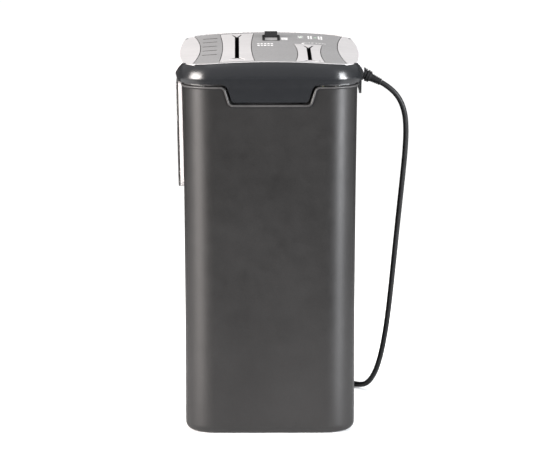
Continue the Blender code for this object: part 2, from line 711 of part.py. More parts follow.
def gear_layout():
    """Centres and phases of every gear: the slots' shafts at one end, the reduction at the other."""
    front, rear, motor = (FRONT_SHAFT_X, SHAFT_Z), (REAR_SHAFT_X, SHAFT_Z), (MOTOR_X, MOTOR_Z)
    disc_front, disc_rear = (DISC_SHAFT_X[0], DISC_SHAFT_Z), (DISC_SHAFT_X[1], DISC_SHAFT_Z)
    to_idler = spacing(SYNC_GEAR, DISC_IDLER_GEAR), spacing(DISC_IDLER_GEAR, DISC_GEAR)
    idler = reach(rear, disc_front, *to_idler, -1)
    angle = math.radians(25.0)
    away = spacing(DRIVE_GEAR, SECOND_PINION)
    second = (rear[0] + away * math.cos(angle), rear[1] + away * math.sin(angle))
    first = reach(second, motor, spacing(SECOND_WHEEL, FIRST_PINION), spacing(FIRST_WHEEL, MOTOR_PINION), 1)
    places = {"front": front, "rear": rear, "motor": motor, "idler": idler, "second": second, "first": first,
              "disc_front": disc_front, "disc_rear": disc_rear}
    phases = {"front": 0.0}
    phases["rear"] = meshed(SYNC_GEAR, front, 0.0, SYNC_GEAR, rear)
    phases["idler"] = meshed(SYNC_GEAR, rear, phases["rear"], DISC_IDLER_GEAR, idler)
    phases["disc_front"] = meshed(DISC_IDLER_GEAR, idler, phases["idler"], DISC_GEAR, disc_front)
    phases["disc_rear"] = meshed(DISC_GEAR, disc_front, phases["disc_front"], DISC_GEAR, disc_rear)
    phases["second_pinion"] = meshed(DRIVE_GEAR, rear, 0.0, SECOND_PINION, second)
    phases["first_pinion"] = meshed(SECOND_WHEEL, second, 0.0, FIRST_PINION, first)
    phases["motor"] = meshed(FIRST_WHEEL, first, 0.0, MOTOR_PINION, motor)
    return places, phases


def build_basket(look, body):
    waste_basket(look["basket"], body)
    window_hole = [rounded(WINDOW_HALF_Y - WINDOW_FRAME, (WINDOW_HIGH - WINDOW_LOW) / 2 - WINDOW_FRAME,
                           WINDOW_CORNER - 4.0, 3, 2, 2)]
    window("window_bezel", window_outline(0.0), 0.0, BEZEL_DEPTH, window_hole, look["pearl"], body)
    window("window_pane", window_outline(0.0), BEZEL_DEPTH + GAP, BEZEL_DEPTH + GAP + PANE_THICK, (),
           look["smoke"], body)


def build_deck(look, body):
    """The head's outer panels and the openings they leave."""
    head_solid("skin_tool", SKIN)
    paper = (PAPER_X, 0.0), PAPER_HALF_Y, PAPER_END_X, PAPER_WAIST_X
    disc = (DISC_X, DISC_Y), DISC_HALF_Y, DISC_END_X, DISC_WAIST_X
    well_middle = sum(SWITCH_WELL_Y) / 2
    well_half = (SWITCH_WELL_Y[1] - SWITCH_WELL_Y[0]) / 2

    def bezel_loop(grow):
        half = SWITCH_WELL_HALF_X + grow, well_half + grow
        return rounded(*half, 2.0 + grow / 2, 2, 2, 2, (SWITCH_X, well_middle))

    lamp_places = [(38.5, 109.0), (56.0, 109.0)]
    gaps = [tool("paper_gap_tool", prism(waisted(*paper, GAP), 395.0, 470.0)),
            tool("disc_gap_tool", prism(waisted(*disc, GAP), 395.0, 470.0)),
            tool("switch_gap_tool", prism(bezel_loop(SWITCH_RIM + GAP), 395.0, 470.0))]
    lamp_gaps = [tool(f"lamp_gap_tool_{i}", prism(circle(*place_xy, 3.1, 12), 395.0, 470.0))
                 for i, place_xy in enumerate(lamp_places)]
    deck = tool("deck_tool", prism(deck_outline(), 395.0, 470.0))
    skin_panel("deck_panel", [deck], look["silver"], body, gaps + lamp_gaps)
    clear_of_deck = tool("deck_clear_tool", prism(deck_outline(GAP), 390.0, 475.0))
    gland = gland_hole()
    for side, name in ((-1, "front_cheek"), (1, "rear_cheek")):
        region = tool(f"{name}_tool", cheek_region(side))
        skin_panel(name, [region], look["pearl"], body, [clear_of_deck, gland])
    slot_y = (-PAPER_SLOT_HALF_Y, PAPER_SLOT_HALF_Y)
    throat("paper_throat", waisted(*paper), PAPER_X, slot_y, PAPER_SLOT, look["pearl"], body)
    throat("disc_throat", waisted(*disc), DISC_X, DISC_SLOT_Y, DISC_SLOT, look["pearl"], body)

    well_floor = 428.0
    rim = HEAD_TOP + 0.3
    bezel = [(SWITCH_RIM, well_floor - 2.0), (SWITCH_RIM, rim), (0.0, rim), (0.0, well_floor)]
    loops = [[(x, y, z) for x, y in bezel_loop(grow)] for grow, z in bezel]
    make("switch_bezel", loft(loops), look["black"], body)
    for index, (x, y) in enumerate(lamp_places, start=1):
        top = HEAD_TOP - CROWN * x * x + 0.2
        lens = turned([(top - 6.0, 2.6), (top - 0.6, 2.6), (top, 2.0)], (x, y), "z", 12)
        make(f"status_lens_{index}", lens, look["lens"], body)
    chutes = [block((PAPER_X - 14.5, PAPER_X + 14.5), (-137.0, 137.0), (395.0, 470.0)),
              block((DISC_X - 11.0, DISC_X + 11.0), (-143.0, 26.0), (395.0, 470.0))]
    openings = [tool(f"chute_hole_tool_{i}", each) for i, each in enumerate(chutes)]
    head_housing(look["black"], body, openings + gaps[2:] + lamp_gaps + [gland])


def build_frame(look, body, places):
    """Plates, rods and bushes that carry the cutters, and what is bolted to them."""
    lower_tray(look["tray"], body)
    front, rear = places["front"], places["rear"]
    shaft_holes = [circle(*centre, 9.35, 20) for centre in (front, rear)]
    disc_holes = [circle(*places[name], 5.25, 16) for name in ("disc_front", "disc_rear")]
    near = [(-82.0, 352.0), (69.0, 352.0), (69.0, 398.5), (-82.0, 398.5)]
    far = [(-82.0, 351.0), (80.0, 351.0), (80.0, 408.0), (64.0, 421.0), (-6.0, 421.0), (-20.0, 398.5)]
    far.append((-82.0, 398.5))
    motor_hole = circle(*places["motor"], 3.7, 16)
    near_plate = prism(near, *NEAR_PLATE_Y, "y", shaft_holes + disc_holes)
    make("near_bearing_plate", near_plate, look["zinc"], body)
    make("far_bearing_plate", prism(far, *FAR_PLATE_Y, "y", [*shaft_holes, motor_hole]), look["zinc"], body)
    disc_plate = [(23.0, 366.0), (70.0, 366.0), (70.0, 398.5), (23.0, 398.5)]
    make("disc_bearing_plate", prism(disc_plate, *DISC_PLATE_Y, "y", disc_holes), look["zinc"], body)
    for index, centre in enumerate([(-76.0, 358.0), (0.0, 358.0)], start=1):
        profile = [(NEAR_PLATE_Y[1] + GAP, 2.8), (FAR_PLATE_Y[0] - GAP, 2.8)]
        make(f"tie_rod_{index}", turned(profile, centre, "y", 12), look["zinc"], body)
    for side, centre in (("front", front), ("rear", rear)):
        for end, plate, inward in (("near", NEAR_PLATE_Y, 1), ("far", FAR_PLATE_Y, -1)):
            low, high = plate[0] - 0.6, plate[1] + 0.6
            low, high = (low, high + 1.4) if inward > 0 else (low - 1.4, high)
            make(f"{side}_bush_{end}", tube_ring(9.1, 7.3, low, high, centre, "y"), look["brass"], body)
    gearbox = [(-56.0, 351.0), (62.0, 351.0), (62.0, 420.0), (-6.0, 420.0), (-30.0, 412.0), (-56.0, 398.0)]
    make("gearbox_plate", prism(gearbox, 141.9, 144.0, "y"), look["zinc"], body)
    for name in ("first", "second"):
        pin = turned([(FAR_PLATE_Y[1] + GAP, 3.0), (141.6, 3.0)], places[name], "y", 12)
        make(f"{name}_gear_pin", pin, look["steel"], body)
    pin = turned([(-143.5, 3.0), (NEAR_PLATE_Y[0] - GAP, 3.0)], places["idler"], "y", 12)
    make("disc_idler_pin", pin, look["steel"], body)
    comb("front_stripper", blade_starts(False), -1, look["zinc"], body)
    comb("rear_stripper", blade_starts(True), 1, look["zinc"], body)
    motor_can(look["zinc"], body)


def build_electrics(look, body):
    board = block((-2.0, 74.0), (28.0, 108.0), (411.6, 413.2))
    make("circuit_board", board, look["board"], body, smooth=False)
    interlock = block((50.0, 70.0), (-156.8, -150.4), (413.6, 423.4))
    make("interlock_switch", interlock, look["tray"], body, smooth=False)
    cable_gland(look["black"], body)
    for index, (x, y) in enumerate(SCREW_PLACES, start=1):
        profile = [(404.6, 2.6), (405.2, 3.4), (406.4, 3.4), (406.4, 1.6), (408.7, 1.6), (408.8, 1.5)]
        profile.append((421.0, 1.5))
        make(f"tray_screw_{index}", turned(profile, (x, y), "z", 10), look["zinc"], body)


def build_movers(look, head, places, phases):
    """Everything that turns or slides in the head, each on an empty at its joint."""
    def spinner(name, key):
        x, z = places[key]
        return body_empty(name, (x, 0.0, z), head)

    def shaft_gear(name, spec, key, body, low_high, bore):
        gear(name, spec, places[key], phases.get(key, 0.0), *low_high, bore, look["steel"], body)

    for key, rear in (("front", False), ("rear", True)):
        body = spinner(f"{key}_cutter_axis", key)
        far_end = 140.4 if rear else FAR_PLATE_Y[1] + 1.6
        profile = cutter_profile(blade_starts(rear), BLADE_R, CORE_R, JOURNAL_R, (-126.6, 111.0),
                                 (NEAR_PLATE_Y[0] - 1.0, FAR_PLATE_Y[1] + 1.2), (-143.4, far_end), 6.0)
        make(f"{key}_cutter", turned(profile, places[key], "y", 8), look["steel"], body)
        shaft_gear(f"{key}_sync_gear", SYNC_GEAR, key, body, SYNC_Y, 6.4)
        if rear:
            gear("drive_gear", DRIVE_GEAR, places[key], 0.0, *STAGE_Y[2], 6.4, look["steel"], body)
    for key in ("disc_front", "disc_rear"):
        body = spinner(f"{key}_axis", key)
        offset = BLADE_THICK + GAP if key == "disc_rear" else 0.0
        starts = [-119.0 + offset + i * 26.0 for i in range(5)]
        profile = cutter_profile(starts, DISC_BLADE_R, DISC_CORE_R, 5.0, (-127.0, -1.0),
                                 (NEAR_PLATE_Y[0] - 1.0, DISC_PLATE_Y[1] + 1.2), (-143.4, 0.0), 4.4)
        make(f"{key}_cutter", turned(profile, places[key], "y", 8), look["steel"], body)
        shaft_gear(f"{key}_gear", DISC_GEAR, key, body, SYNC_Y, 4.8)
    body = spinner("disc_idler_axis", "idler")
    gear("disc_idler_gear", DISC_IDLER_GEAR, places["idler"], phases["idler"], *SYNC_Y, GEAR_BORE,
         look["nylon"], body)
    body = spinner("second_gear_axis", "second")
    double_gear("second_reduction_gear", SECOND_WHEEL, STAGE_Y[1], 0.0, SECOND_PINION, STAGE_Y[2],
                phases["second_pinion"], places["second"], look["nylon"], body)
    body = spinner("first_gear_axis", "first")
    double_gear("first_reduction_gear", FIRST_WHEEL, STAGE_Y[0], 0.0, FIRST_PINION, STAGE_Y[1],
                phases["first_pinion"], places["first"], look["nylon"], body)
    body = spinner("motor_axis", "motor")
    motor_rotor(look["copper"], body)
    gear("motor_pinion", MOTOR_PINION, places["motor"], phases["motor"], *STAGE_Y[0], 3.3,
         look["steel"], body)

    body = body_empty("interlock_axis", (60.0, -153.2, 400.0), head)
    plunger = [(398.3, 1.4), (399.0, 2.0), (411.9, 2.0), (411.9, 3.2), (412.9, 3.2), (412.9, 2.0)]
    plunger.append((413.3, 2.0))
    make("interlock_plunger", turned(plunger, (60.0, -153.2), "z", 12), look["nylon"], body)

    body = body_empty("switch_axis", (SWITCH_X, sum(SLIDER_Y) / 2, HEAD_TOP), head)
    half = (SLIDER_Y[1] - SLIDER_Y[0]) / 2
    slider = rounded(SLIDER_HALF_X, half, 1.5, 2, 2, 2, (SWITCH_X, sum(SLIDER_Y) / 2))
    make("switch_slider", prism(slider, 428.3, HEAD_TOP - 0.6), look["silver"], body)
    middle, half = sum(GRIP_Y) / 2, (GRIP_Y[1] - GRIP_Y[0]) / 2
    grip = [(0.0, HEAD_TOP - GAP), (0.0, HEAD_TOP + GRIP_HEIGHT - 1.5), (1.2, HEAD_TOP + GRIP_HEIGHT)]
    loops = []
    for inset, z in grip:
        edge = rounded(SLIDER_HALF_X - inset, half - inset, 2.5 - inset, 2, 2, 2, (SWITCH_X, middle))
        loops.append([(x, y, z) for x, y in edge])
    make("switch_grip", loft(loops), look["grip"], body)


def build_lead(look, body):
    lead("power_cord", CORD_ROUTE, look["cord"], body)
    inner, outer = COIL_R
    coil = tube_ring(outer, inner, 0.3, COIL_HIGH, COIL_CENTRE, "z", 32)
    make("cord_coil", coil, look["cord"], body)
    lead("plug_lead", PLUG_LEAD, look["cord"], body)
    plug(look["cord"], look["brass"], body)


def build():
    start_clean()
    look = finishes()
    basket, head = body_empty("basket_body"), body_empty("head_body")
    places, phases = gear_layout()
    build_basket(look, basket)
    build_deck(look, head)
    build_frame(look, head, places)
    build_electrics(look, head)
    build_movers(look, head, places, phases)
    build_lead(look, basket)


build()
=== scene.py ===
"""The looks of a cross-cut paper shredder: fine shells, the mains lead, finishes, light and camera.

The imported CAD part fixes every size. The frame is +Z up with the origin on the floor under the
middle of the waste basket; slots and cutter shafts run along Y, the window is in the -X side and
the lead leaves the +X side. Lengths are in millimetres up to the point where a mesh is made.
"""

import json
from collections import namedtuple
from math import cos, pi, radians, sin, tan

import bmesh
import bpy
from mathutils import Matrix, Vector

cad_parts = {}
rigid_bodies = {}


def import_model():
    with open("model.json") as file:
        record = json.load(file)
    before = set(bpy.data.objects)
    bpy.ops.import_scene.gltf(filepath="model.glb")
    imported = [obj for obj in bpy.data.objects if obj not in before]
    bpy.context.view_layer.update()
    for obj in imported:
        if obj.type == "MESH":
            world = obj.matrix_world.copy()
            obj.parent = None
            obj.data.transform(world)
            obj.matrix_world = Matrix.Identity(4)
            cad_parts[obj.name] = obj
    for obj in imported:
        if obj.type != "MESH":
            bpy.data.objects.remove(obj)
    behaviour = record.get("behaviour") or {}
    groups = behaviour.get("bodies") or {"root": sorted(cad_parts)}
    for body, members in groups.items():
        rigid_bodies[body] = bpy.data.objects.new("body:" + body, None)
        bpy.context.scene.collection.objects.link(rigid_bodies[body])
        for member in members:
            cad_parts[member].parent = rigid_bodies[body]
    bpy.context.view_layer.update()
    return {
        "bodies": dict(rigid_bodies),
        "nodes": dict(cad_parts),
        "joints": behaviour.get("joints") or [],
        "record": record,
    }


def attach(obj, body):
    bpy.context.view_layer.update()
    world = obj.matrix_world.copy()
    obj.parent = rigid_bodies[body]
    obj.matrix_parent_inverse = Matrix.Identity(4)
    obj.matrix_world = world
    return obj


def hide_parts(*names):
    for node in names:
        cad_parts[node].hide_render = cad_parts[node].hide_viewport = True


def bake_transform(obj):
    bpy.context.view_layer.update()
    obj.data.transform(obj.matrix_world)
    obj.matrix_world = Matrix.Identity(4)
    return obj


MM = 0.001
GAP = 0.3  # between pieces that touch

# The head, as in the CAD part apart from the tips of the cheeks. HEAD_SIDE is (drawn in, height) up
# its side; a tongue or notch is its half widths at the root and the tip, and the tip's height.
HEAD_HALF = (103.7, 165.0)
HEAD_CORNER = 38.0
HEAD_BOW = (8.0, 2.0)
HEAD_LOW = 409.0
HEAD_TOP = 434.5
CROWN = 5.2e-4
TOP_RINGS = (0.93, 0.82, 0.7, 0.58, 0.46, 0.34, 0.22, 0.1)  # shares of the outline, inwards
HEAD_SIDE = [(3.0, 380.0), (2.6, 400.0), (1.0, 409.0), (0.0, 415.5), (0.9, 421.5), (3.0, 428.5),
             (6.2, 434.5)]
SKIN = 2.4
THROUGH = (395.0, 470.0)  # heights of a cut right through the head's top
DECK_HALF = (81.5, 91.0, 157.0)  # at the waist, at the ends, and half the length
DECK_INSET = 8.0
CHEEK_LOW = 400.0
CHEEK_TIP = 429.6  # 2 mm above the CAD part's, so that less pearl shows at the ends
CHEEK_SWEEP_Y = 122.0
CHEEK_HALF_Y = 152.0
END_TONGUE = (50.5, 43.6, 388.0)
END_NOTCH = (52.2, 45.4, 385.4)
REAR_TONGUE = (44.0, 38.0, 383.0)

# The basket and its window
BASKET_HEIGHT = 406.4
BASKET_HALF = (98.2, 160.4)
BASKET_CORNER = 36.0
BASKET_FLARE = 2.9
FLARE_POWER = 2.2
BASKET_WALL = 2.6
WINDOW_MIDDLE_Z = 335.25
WINDOW_HALF_Y = 50.0
WINDOW_HALF_Z = 62.25
WINDOW_CORNER = 14.0
WINDOW_FRAME = 7.0
WINDOW_OPENING = (WINDOW_HALF_Y - WINDOW_FRAME, WINDOW_HALF_Z - WINDOW_FRAME, WINDOW_CORNER - 4.0)
WINDOW_TILT = 1.25  # degrees
BEZEL_BACK_X = -101.2
BEZEL_DEPTH = 4.4
PANE_THICK = 2.4
SWITCH_POST = ((57.0, 63.0), (-161.8, -150.2), (352.0, 398.0))  # pushes the safety plunger up

# Panels set into the deck: centre, half length, half widths at the ends and at the waist, and the
# slot's half width and ends
Panel = namedtuple("Panel", "x y half_y end waist slot slot_y")
PAPER = Panel(-38.0, 0.0, 145.0, 20.0, 16.5, 2.5, (-111.0, 111.0))
DISC = Panel(46.5, -57.5, 89.5, 16.5, 13.0, 2.4, (-128.0, -3.0))
SWITCH_X = 3.0
SWITCH_WELL_Y = (66.0, 126.0)
SWITCH_WELL_HALF_X = 8.7
SLIDER_Y = (75.0, 117.0)
SLIDER_HALF_X = 7.7
GRIP_Y = (103.0, 117.0)
GRIP_HEIGHT = 6.0
LENSES = [(38.5, 109.0), (56.0, 109.0)]

# The mains lead
CORD_R = 3.25
TUBE_SIDES = 14
GLAND_ROOT = (109.6, 0.0, 403.0)
GLAND_TILT = 26.0  # degrees below level
COIL_CENTRE = (40.0, 217.0)
COIL_TURN_R = (39.5, 33.0)
COIL_HIGH = 19.6
COIL_STEPS = 24  # points to a turn
CORD_ROUTE = [
    (132.5, 0.0, 391.8), (137.5, 0.0, 388.8), (144.0, 0.2, 383.9), (150.2, 0.6, 377.7),
    (155.4, 1.4, 369.8), (159.4, 2.8, 359.6), (161.8, 5.0, 347.0), (162.6, 8.4, 331.0),
    (162.0, 13.2, 311.0), (160.2, 19.6, 286.0), (157.6, 27.6, 256.0), (154.6, 36.6, 222.0),
    (151.4, 46.2, 185.0), (148.2, 56.0, 147.0), (144.8, 66.0, 110.0), (140.8, 76.4, 76.0),
    (135.6, 87.8, 46.0), (128.6, 101.0, 22.0), (119.6, 115.6, 7.6), (109.2, 130.8, 3.4),
    (99.0, 145.6, 3.4), (88.8, 158.6, 3.4), (79.0, 167.8, 3.4), (70.6, 173.0, 3.4),
    (63.0, 175.6, 3.4),
]
PLUG_LEAD = [(18.5, 175.2, 9.0), (9.0, 175.6, 8.0), (0.0, 176.0, 7.4), (-7.4, 176.0, 7.4)]
PLUG_Y = 176.0
PLUG_MIDDLE_Z = 7.4

# The camera stands at the narrow end, a little above the deck
CAMERA_PLACE = (-38.1, -5165.0, 1008.3)
CAMERA_PITCH = 8.667  # degrees down
CAMERA_YAW = 0.50  # degrees towards +X
CAMERA_LENS = 287.4
AIM = (0.0, 0.0, 0.25)  # the point that the soft lights face, in metres


# ---- outlines

def arc(cx, cy, radius, start, end, count):
    """Points on an arc, angles in degrees, both ends included."""
    steps = [radians(start + (end - start) * i / count) for i in range(count + 1)]
    return [(cx + radius * cos(a), cy + radius * sin(a)) for a in steps]


def circle(cx, cy, radius, count):
    return arc(cx, cy, radius, 0, 360 * (1 - 1 / count), count - 1)


def rounded(half_x, half_y, corner, per_corner=12, per_long=30, per_end=20, centre=(0.0, 0.0)):
    """A rounded rectangle, anticlockwise, with spare points along its straight sides."""
    flat_x, flat_y = half_x - corner, half_y - corner
    points = []
    for sx, sy, start in ((1, 1, 0), (-1, 1, 90), (-1, -1, 180), (1, -1, 270)):
        points += arc(sx * flat_x, sy * flat_y, corner, start, start + 90, per_corner)
        if start in (0, 180):
            points += [(sx * flat_x * (1 - 2 * i / per_end), sy * half_y) for i in range(1, per_end)]
        else:
            points += [(sx * half_x, sy * flat_y * (1 - 2 * i / per_long)) for i in range(1, per_long)]
    return [(x + centre[0], y + centre[1]) for x, y in points]


def spline(points, per_span):
    """A smooth curve through points of any number of dimensions."""
    points = [Vector(p) for p in points]
    points = [2 * points[0] - points[1], *points, 2 * points[-1] - points[-2]]
    fine = []
    for a, b, c, d in zip(points, points[1:], points[2:], points[3:]):
        for i in range(per_span):
            t = i / per_span
            fine.append(0.5 * (2 * b + (c - a) * t + (2 * a - 5 * b + 4 * c - d) * t**2
                               + (3 * b - a - 3 * c + d) * t**3))
    return [*fine, points[-2]]


def head_outline(inset):
    """The head's outline, drawn in all round: long sides and ends are bowed outwards."""
    half_x, half_y = HEAD_HALF[0] - inset, HEAD_HALF[1] - inset
    bowed = []
    for x, y in rounded(half_x, half_y, HEAD_CORNER - inset):
        bow_x = HEAD_BOW[0] * (x / half_x) * (1 - (y / half_y) ** 2)
        bow_y = HEAD_BOW[1] * (y / half_y) * (1 - (x / half_x) ** 2)
        bowed.append((x + bow_x, y + bow_y))
    return bowed


def top_at(x):
    """The height of the head's crowned top."""
    return HEAD_TOP - CROWN * x * x


def crowned(x, y, height):
    """A point of the head, lowered by the crown, which grows from the lower edge to the top."""
    share = max(0.0, (height - HEAD_LOW) / (HEAD_TOP - HEAD_LOW))
    return (x, y, height - CROWN * x * x * share)


def head_loops(depth, below=0.0):
    """Loops of the head's outer form, moved inwards by depth; the lowest loop can be moved down."""
    side = [tuple(p) for p in spline(HEAD_SIDE, 5)]
    loops = []
    for index, (inset, height) in enumerate(side):
        high = min(height, HEAD_TOP - depth) if index else height - below
        loops.append([crowned(x, y, high) for x, y in head_outline(inset + depth)])
    last = head_outline(HEAD_SIDE[-1][0] + depth)
    for ring in TOP_RINGS:
        loops.append([crowned(x * ring, y * (0.8 + 0.2 * ring), HEAD_TOP - depth) for x, y in last])
    return loops


def waisted(panel, grow=0.0):
    """A panel whose long sides curve in to a waist."""
    count = 28
    points = []
    for side in (1, -1):
        for i in range(count + 1):
            t = side * (-1 + 2 * i / count)
            half = panel.waist + (panel.end - panel.waist) * t * t + grow
            points.append((panel.x + side * half, panel.y + t * (panel.half_y + grow)))
    return points


def deck_outline(grow=0.0):
    """The deck's waisted sides, and its ends following the head's top edge."""
    waist, end, half_y = DECK_HALF
    points = []
    for x, y in head_outline(DECK_INSET - grow):
        side = waist + (end - waist) * (y / half_y) ** 2 + grow
        points.append((max(-side, min(side, x)), y))
    return points


# ---- solids

def place(u, v, along, axis):
    return {"x": (along, u, v), "y": (u, along, v), "z": (u, v, along)}[axis]


def loft(loops, ring=False):
    """Join loops of equal length: closed at both ends, or back round to the first loop."""
    bm = bmesh.new()
    rows = [[bm.verts.new(point) for point in loop] for loop in loops]
    pairs = list(zip(rows, rows[1:]))
    if ring:
        pairs.append((rows[-1], rows[0]))
    for low, high in pairs:
        for i in range(len(low)):
            bm.faces.new((low[i - 1], low[i], high[i], high[i - 1]))
    if not ring:
        bm.faces.new(rows[0])
        bm.faces.new(rows[-1])
    return bm


def prism(outline, low, high, axis="z"):
    return loft([[place(u, v, along, axis) for u, v in outline] for along in (low, high)])


def block(x, y, z):
    return prism([(x[0], y[0]), (x[1], y[0]), (x[1], y[1]), (x[0], y[1])], z[0], z[1])


def turned(profile, centre, axis, segments=48):
    """A solid of revolution from (position along the axis, radius) pairs."""
    return loft([[place(u, v, along, axis) for u, v in circle(*centre, radius, segments)]
                 for along, radius in profile])


def sweep(path, outward, profile, closed):
    """Carry a profile of (outward, sideways) pairs along a path."""
    count = len(path)
    loops = []
    for i, (point, out) in enumerate(zip(path, outward)):
        before = path[i - 1] if closed or i else path[i]
        after = path[(i + 1) % count] if closed or i < count - 1 else path[i]
        along = (Vector(after) - Vector(before)).normalized()
        out = (Vector(out) - along * along.dot(Vector(out))).normalized()
        across = along.cross(out)
        loops.append([Vector(point) + out * a + across * b for a, b in profile])
    return loft(loops, closed)


def tube(points, radius):
    """A round tube along points, with its frame carried along so that it never twists."""
    along = (points[1] - points[0]).normalized()
    side = along.orthogonal().normalized()
    steps = [2 * pi * k / TUBE_SIDES for k in range(TUBE_SIDES)]
    loops = []
    for i, point in enumerate(points):
        ahead = (points[min(i + 1, len(points) - 1)] - points[max(i - 1, 0)]).normalized()
        side = (side - ahead * ahead.dot(side)).normalized()
        other = ahead.cross(side)
        loops.append([point + radius * (side * cos(a) + other * sin(a)) for a in steps])
    return loft(loops)


# ---- objects

def linked(name, data):
    made = bpy.data.objects.new(name, data)
    bpy.context.collection.objects.link(made)
    return made


def shown(name, mesh, sharp=35.0):
    """A smooth-shaded object, with creases where faces meet at more than the sharp angle."""
    mesh.shade_smooth()
    mesh.set_sharp_from_angle(angle=radians(sharp))
    return linked(name, mesh)


def new_object(name, bm, sharp=35.0):
    """Turn a bmesh in millimetres into an object in metres at the origin."""
    bmesh.ops.recalc_face_normals(bm, faces=bm.faces)
    bmesh.ops.scale(bm, vec=(MM, MM, MM), verts=bm.verts)
    mesh = bpy.data.meshes.new(name)
    bm.to_mesh(mesh)
    bm.free()
    return shown(name, mesh, sharp)


def carved(name, bm, *steps):
    """Apply (operation, bmesh, ...) steps to a solid and return it as one plain object."""
    made = new_object(name, bm)
    tools = []
    for operation, *shapes in steps:
        for shape in shapes:
            each = new_object(f"{name}_tool", shape)
            tools.append(each)
            step = made.modifiers.new(operation, "BOOLEAN")
            step.operation = operation
            step.solver = "EXACT"
            step.object = each
    mesh = bpy.data.meshes.new_from_object(made.evaluated_get(bpy.context.evaluated_depsgraph_get()))
    for each in (*tools, made):
        bpy.data.objects.remove(each)
    mesh.name = name
    return shown(name, mesh)


def taken_back(made):
    """A plain object's solid in millimetres again; the object itself goes."""
    bm = bmesh.new()
    bm.from_mesh(made.data)
    bmesh.ops.scale(bm, vec=(1 / MM, 1 / MM, 1 / MM), verts=bm.verts)
    bpy.data.objects.remove(made)
    return bm


def merged(*solids):
    """Several separate solids in one bmesh."""
    whole = bmesh.new()
    for bm in solids:
        mesh = bpy.data.meshes.new("part")
        bm.to_mesh(mesh)
        bm.free()
        whole.from_mesh(mesh)
        bpy.data.meshes.remove(mesh)
    return whole


def soften(made, width, segments=2):
    """Round the sharp edges a little, as a moulding's are."""
    step = made.modifiers.new("soft edges", "BEVEL")
    step.width = width * MM
    step.segments = segments
    step.limit_method = "ANGLE"
    step.angle_limit = radians(32.0)
    step.use_clamp_overlap = True
    step.harden_normals = True
    return made


def fit(made, finish, body, slot, *nodes):
    """Finish a piece, make it ride on its body and let it stand for its CAD nodes."""
    made.data.materials.clear()
    made.data.materials.append(finish)
    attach(made, body)
    if nodes:
        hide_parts(*nodes)
    return made


# ---- finishes

def feed(tree, socket, value):
    """Link another node's output to a socket, or set the socket to a plain value."""
    if isinstance(value, bpy.types.NodeSocket):
        tree.links.new(value, socket)
    else:
        socket.default_value = value


def add_node(tree, kind, **inputs):
    """A shader node with its named inputs fed; an underscore stands for a space in a name."""
    node = tree.nodes.new("ShaderNode" + kind)
    for name, value in inputs.items():
        feed(tree, node.inputs[name.replace("_", " ")], value)
    return node


class Finish:
    """A Principled material with a few short ways to feed its sockets."""

    def __init__(self, name, colour, roughness, metallic=0.0, specular=0.5):
        self.material = bpy.data.materials.new(name)
        self.material.use_nodes = True
        self.tree = self.material.node_tree
        self.shader = self.tree.nodes["Principled BSDF"]
        self.coords = add_node(self.tree, "TexCoord").outputs["Object"]
        self.set("Base Color", (*colour, 1.0))
        self.set("Roughness", roughness)
        self.set("Metallic", metallic)
        self.set("Specular IOR Level", specular)

    def set(self, socket, value):
        feed(self.tree, self.shader.inputs[socket], value)

    def noise(self, scale, detail=3.0, rough=0.5, stretch=None):
        """Noise in the object's coordinates, which can be scaled apart along the axes."""
        where = self.coords
        if stretch:
            where = add_node(self.tree, "Mapping", Vector=where, Scale=stretch).outputs["Vector"]
        return add_node(self.tree, "TexNoise", Vector=where, Scale=scale, Detail=detail,
                        Roughness=rough).outputs["Fac"]

    def patches(self, scale, detail=3.0, rough=0.5, span=(0.3, 0.7), most=1.0):
        """Blotches from 0 to most, with flat parts between them."""
        return self.between(self.noise(scale, detail, rough), *span, 0.0, most)

    def cells(self, scale, output="Distance", feature="F1"):
        node = add_node(self.tree, "TexVoronoi", Vector=self.coords, Scale=scale)
        node.feature = feature
        return node.outputs[output]

    def between(self, source, low, high, to_low, to_high):
        """Carry a value from one range to another, held at both ends."""
        return add_node(self.tree, "MapRange", Value=source, From_Min=low, From_Max=high,
                        To_Min=to_low, To_Max=to_high).outputs["Result"]

    def blend(self, factor, first, second):
        """A colour between two, where each is a colour or another node's output."""
        node = add_node(self.tree, "Mix")
        node.data_type = "RGBA"
        for index, value in ((6, first), (7, second)):
            feed(self.tree, node.inputs[index], (*value, 1.0) if isinstance(value, tuple) else value)
        feed(self.tree, node.inputs[0], factor)
        return node.outputs[2]

    def colour(self, factor, first, second):
        self.set("Base Color", self.blend(factor, first, second))

    def roughness(self, source, to_low, to_high, low=0.3, high=0.7):
        self.set("Roughness", self.between(source, low, high, to_low, to_high))

    def bumps(self, *layers):
        """Stack (height, strength, depth in mm) layers; a plain height is the scale of a soft noise."""
        normal = None
        for height, strength, depth in layers:
            if isinstance(height, float):
                height = self.noise(height, 2.0)
            node = add_node(self.tree, "Bump", Strength=strength, Distance=depth * MM, Height=height)
            if normal:
                feed(self.tree, node.inputs["Normal"], normal)
            normal = node.outputs["Normal"]
        self.set("Normal", normal)


def tinted(colour, times, plus=0.0):
    return tuple(min(1.0, c * times + plus) for c in colour)


def basket_finish():
    """Dark metallic graphite, a little cloudy, with fine flakes and a slight pebble."""
    made = Finish("basket_plastic", (0.036, 0.035, 0.035), 0.33, 0.5, specular=0.78)
    cloud = made.patches(9.0, 4.0, 0.55)
    flake = made.between(made.cells(2600.0, "Color"), 0.25, 0.9, 0.0, 0.18)
    body = made.blend(cloud, (0.011, 0.0107, 0.0107), (0.017, 0.0166, 0.0166))
    made.colour(flake, body, (0.05, 0.048, 0.048))
    made.roughness(made.noise(60.0, 4.0, 0.6), 0.37, 0.45)
    made.bumps((1500.0, 0.06, 0.04), (26.0, 0.06, 0.4))
    made.set("Specular Tint", (0.4, 0.4, 0.4, 1.0))
    return made.material


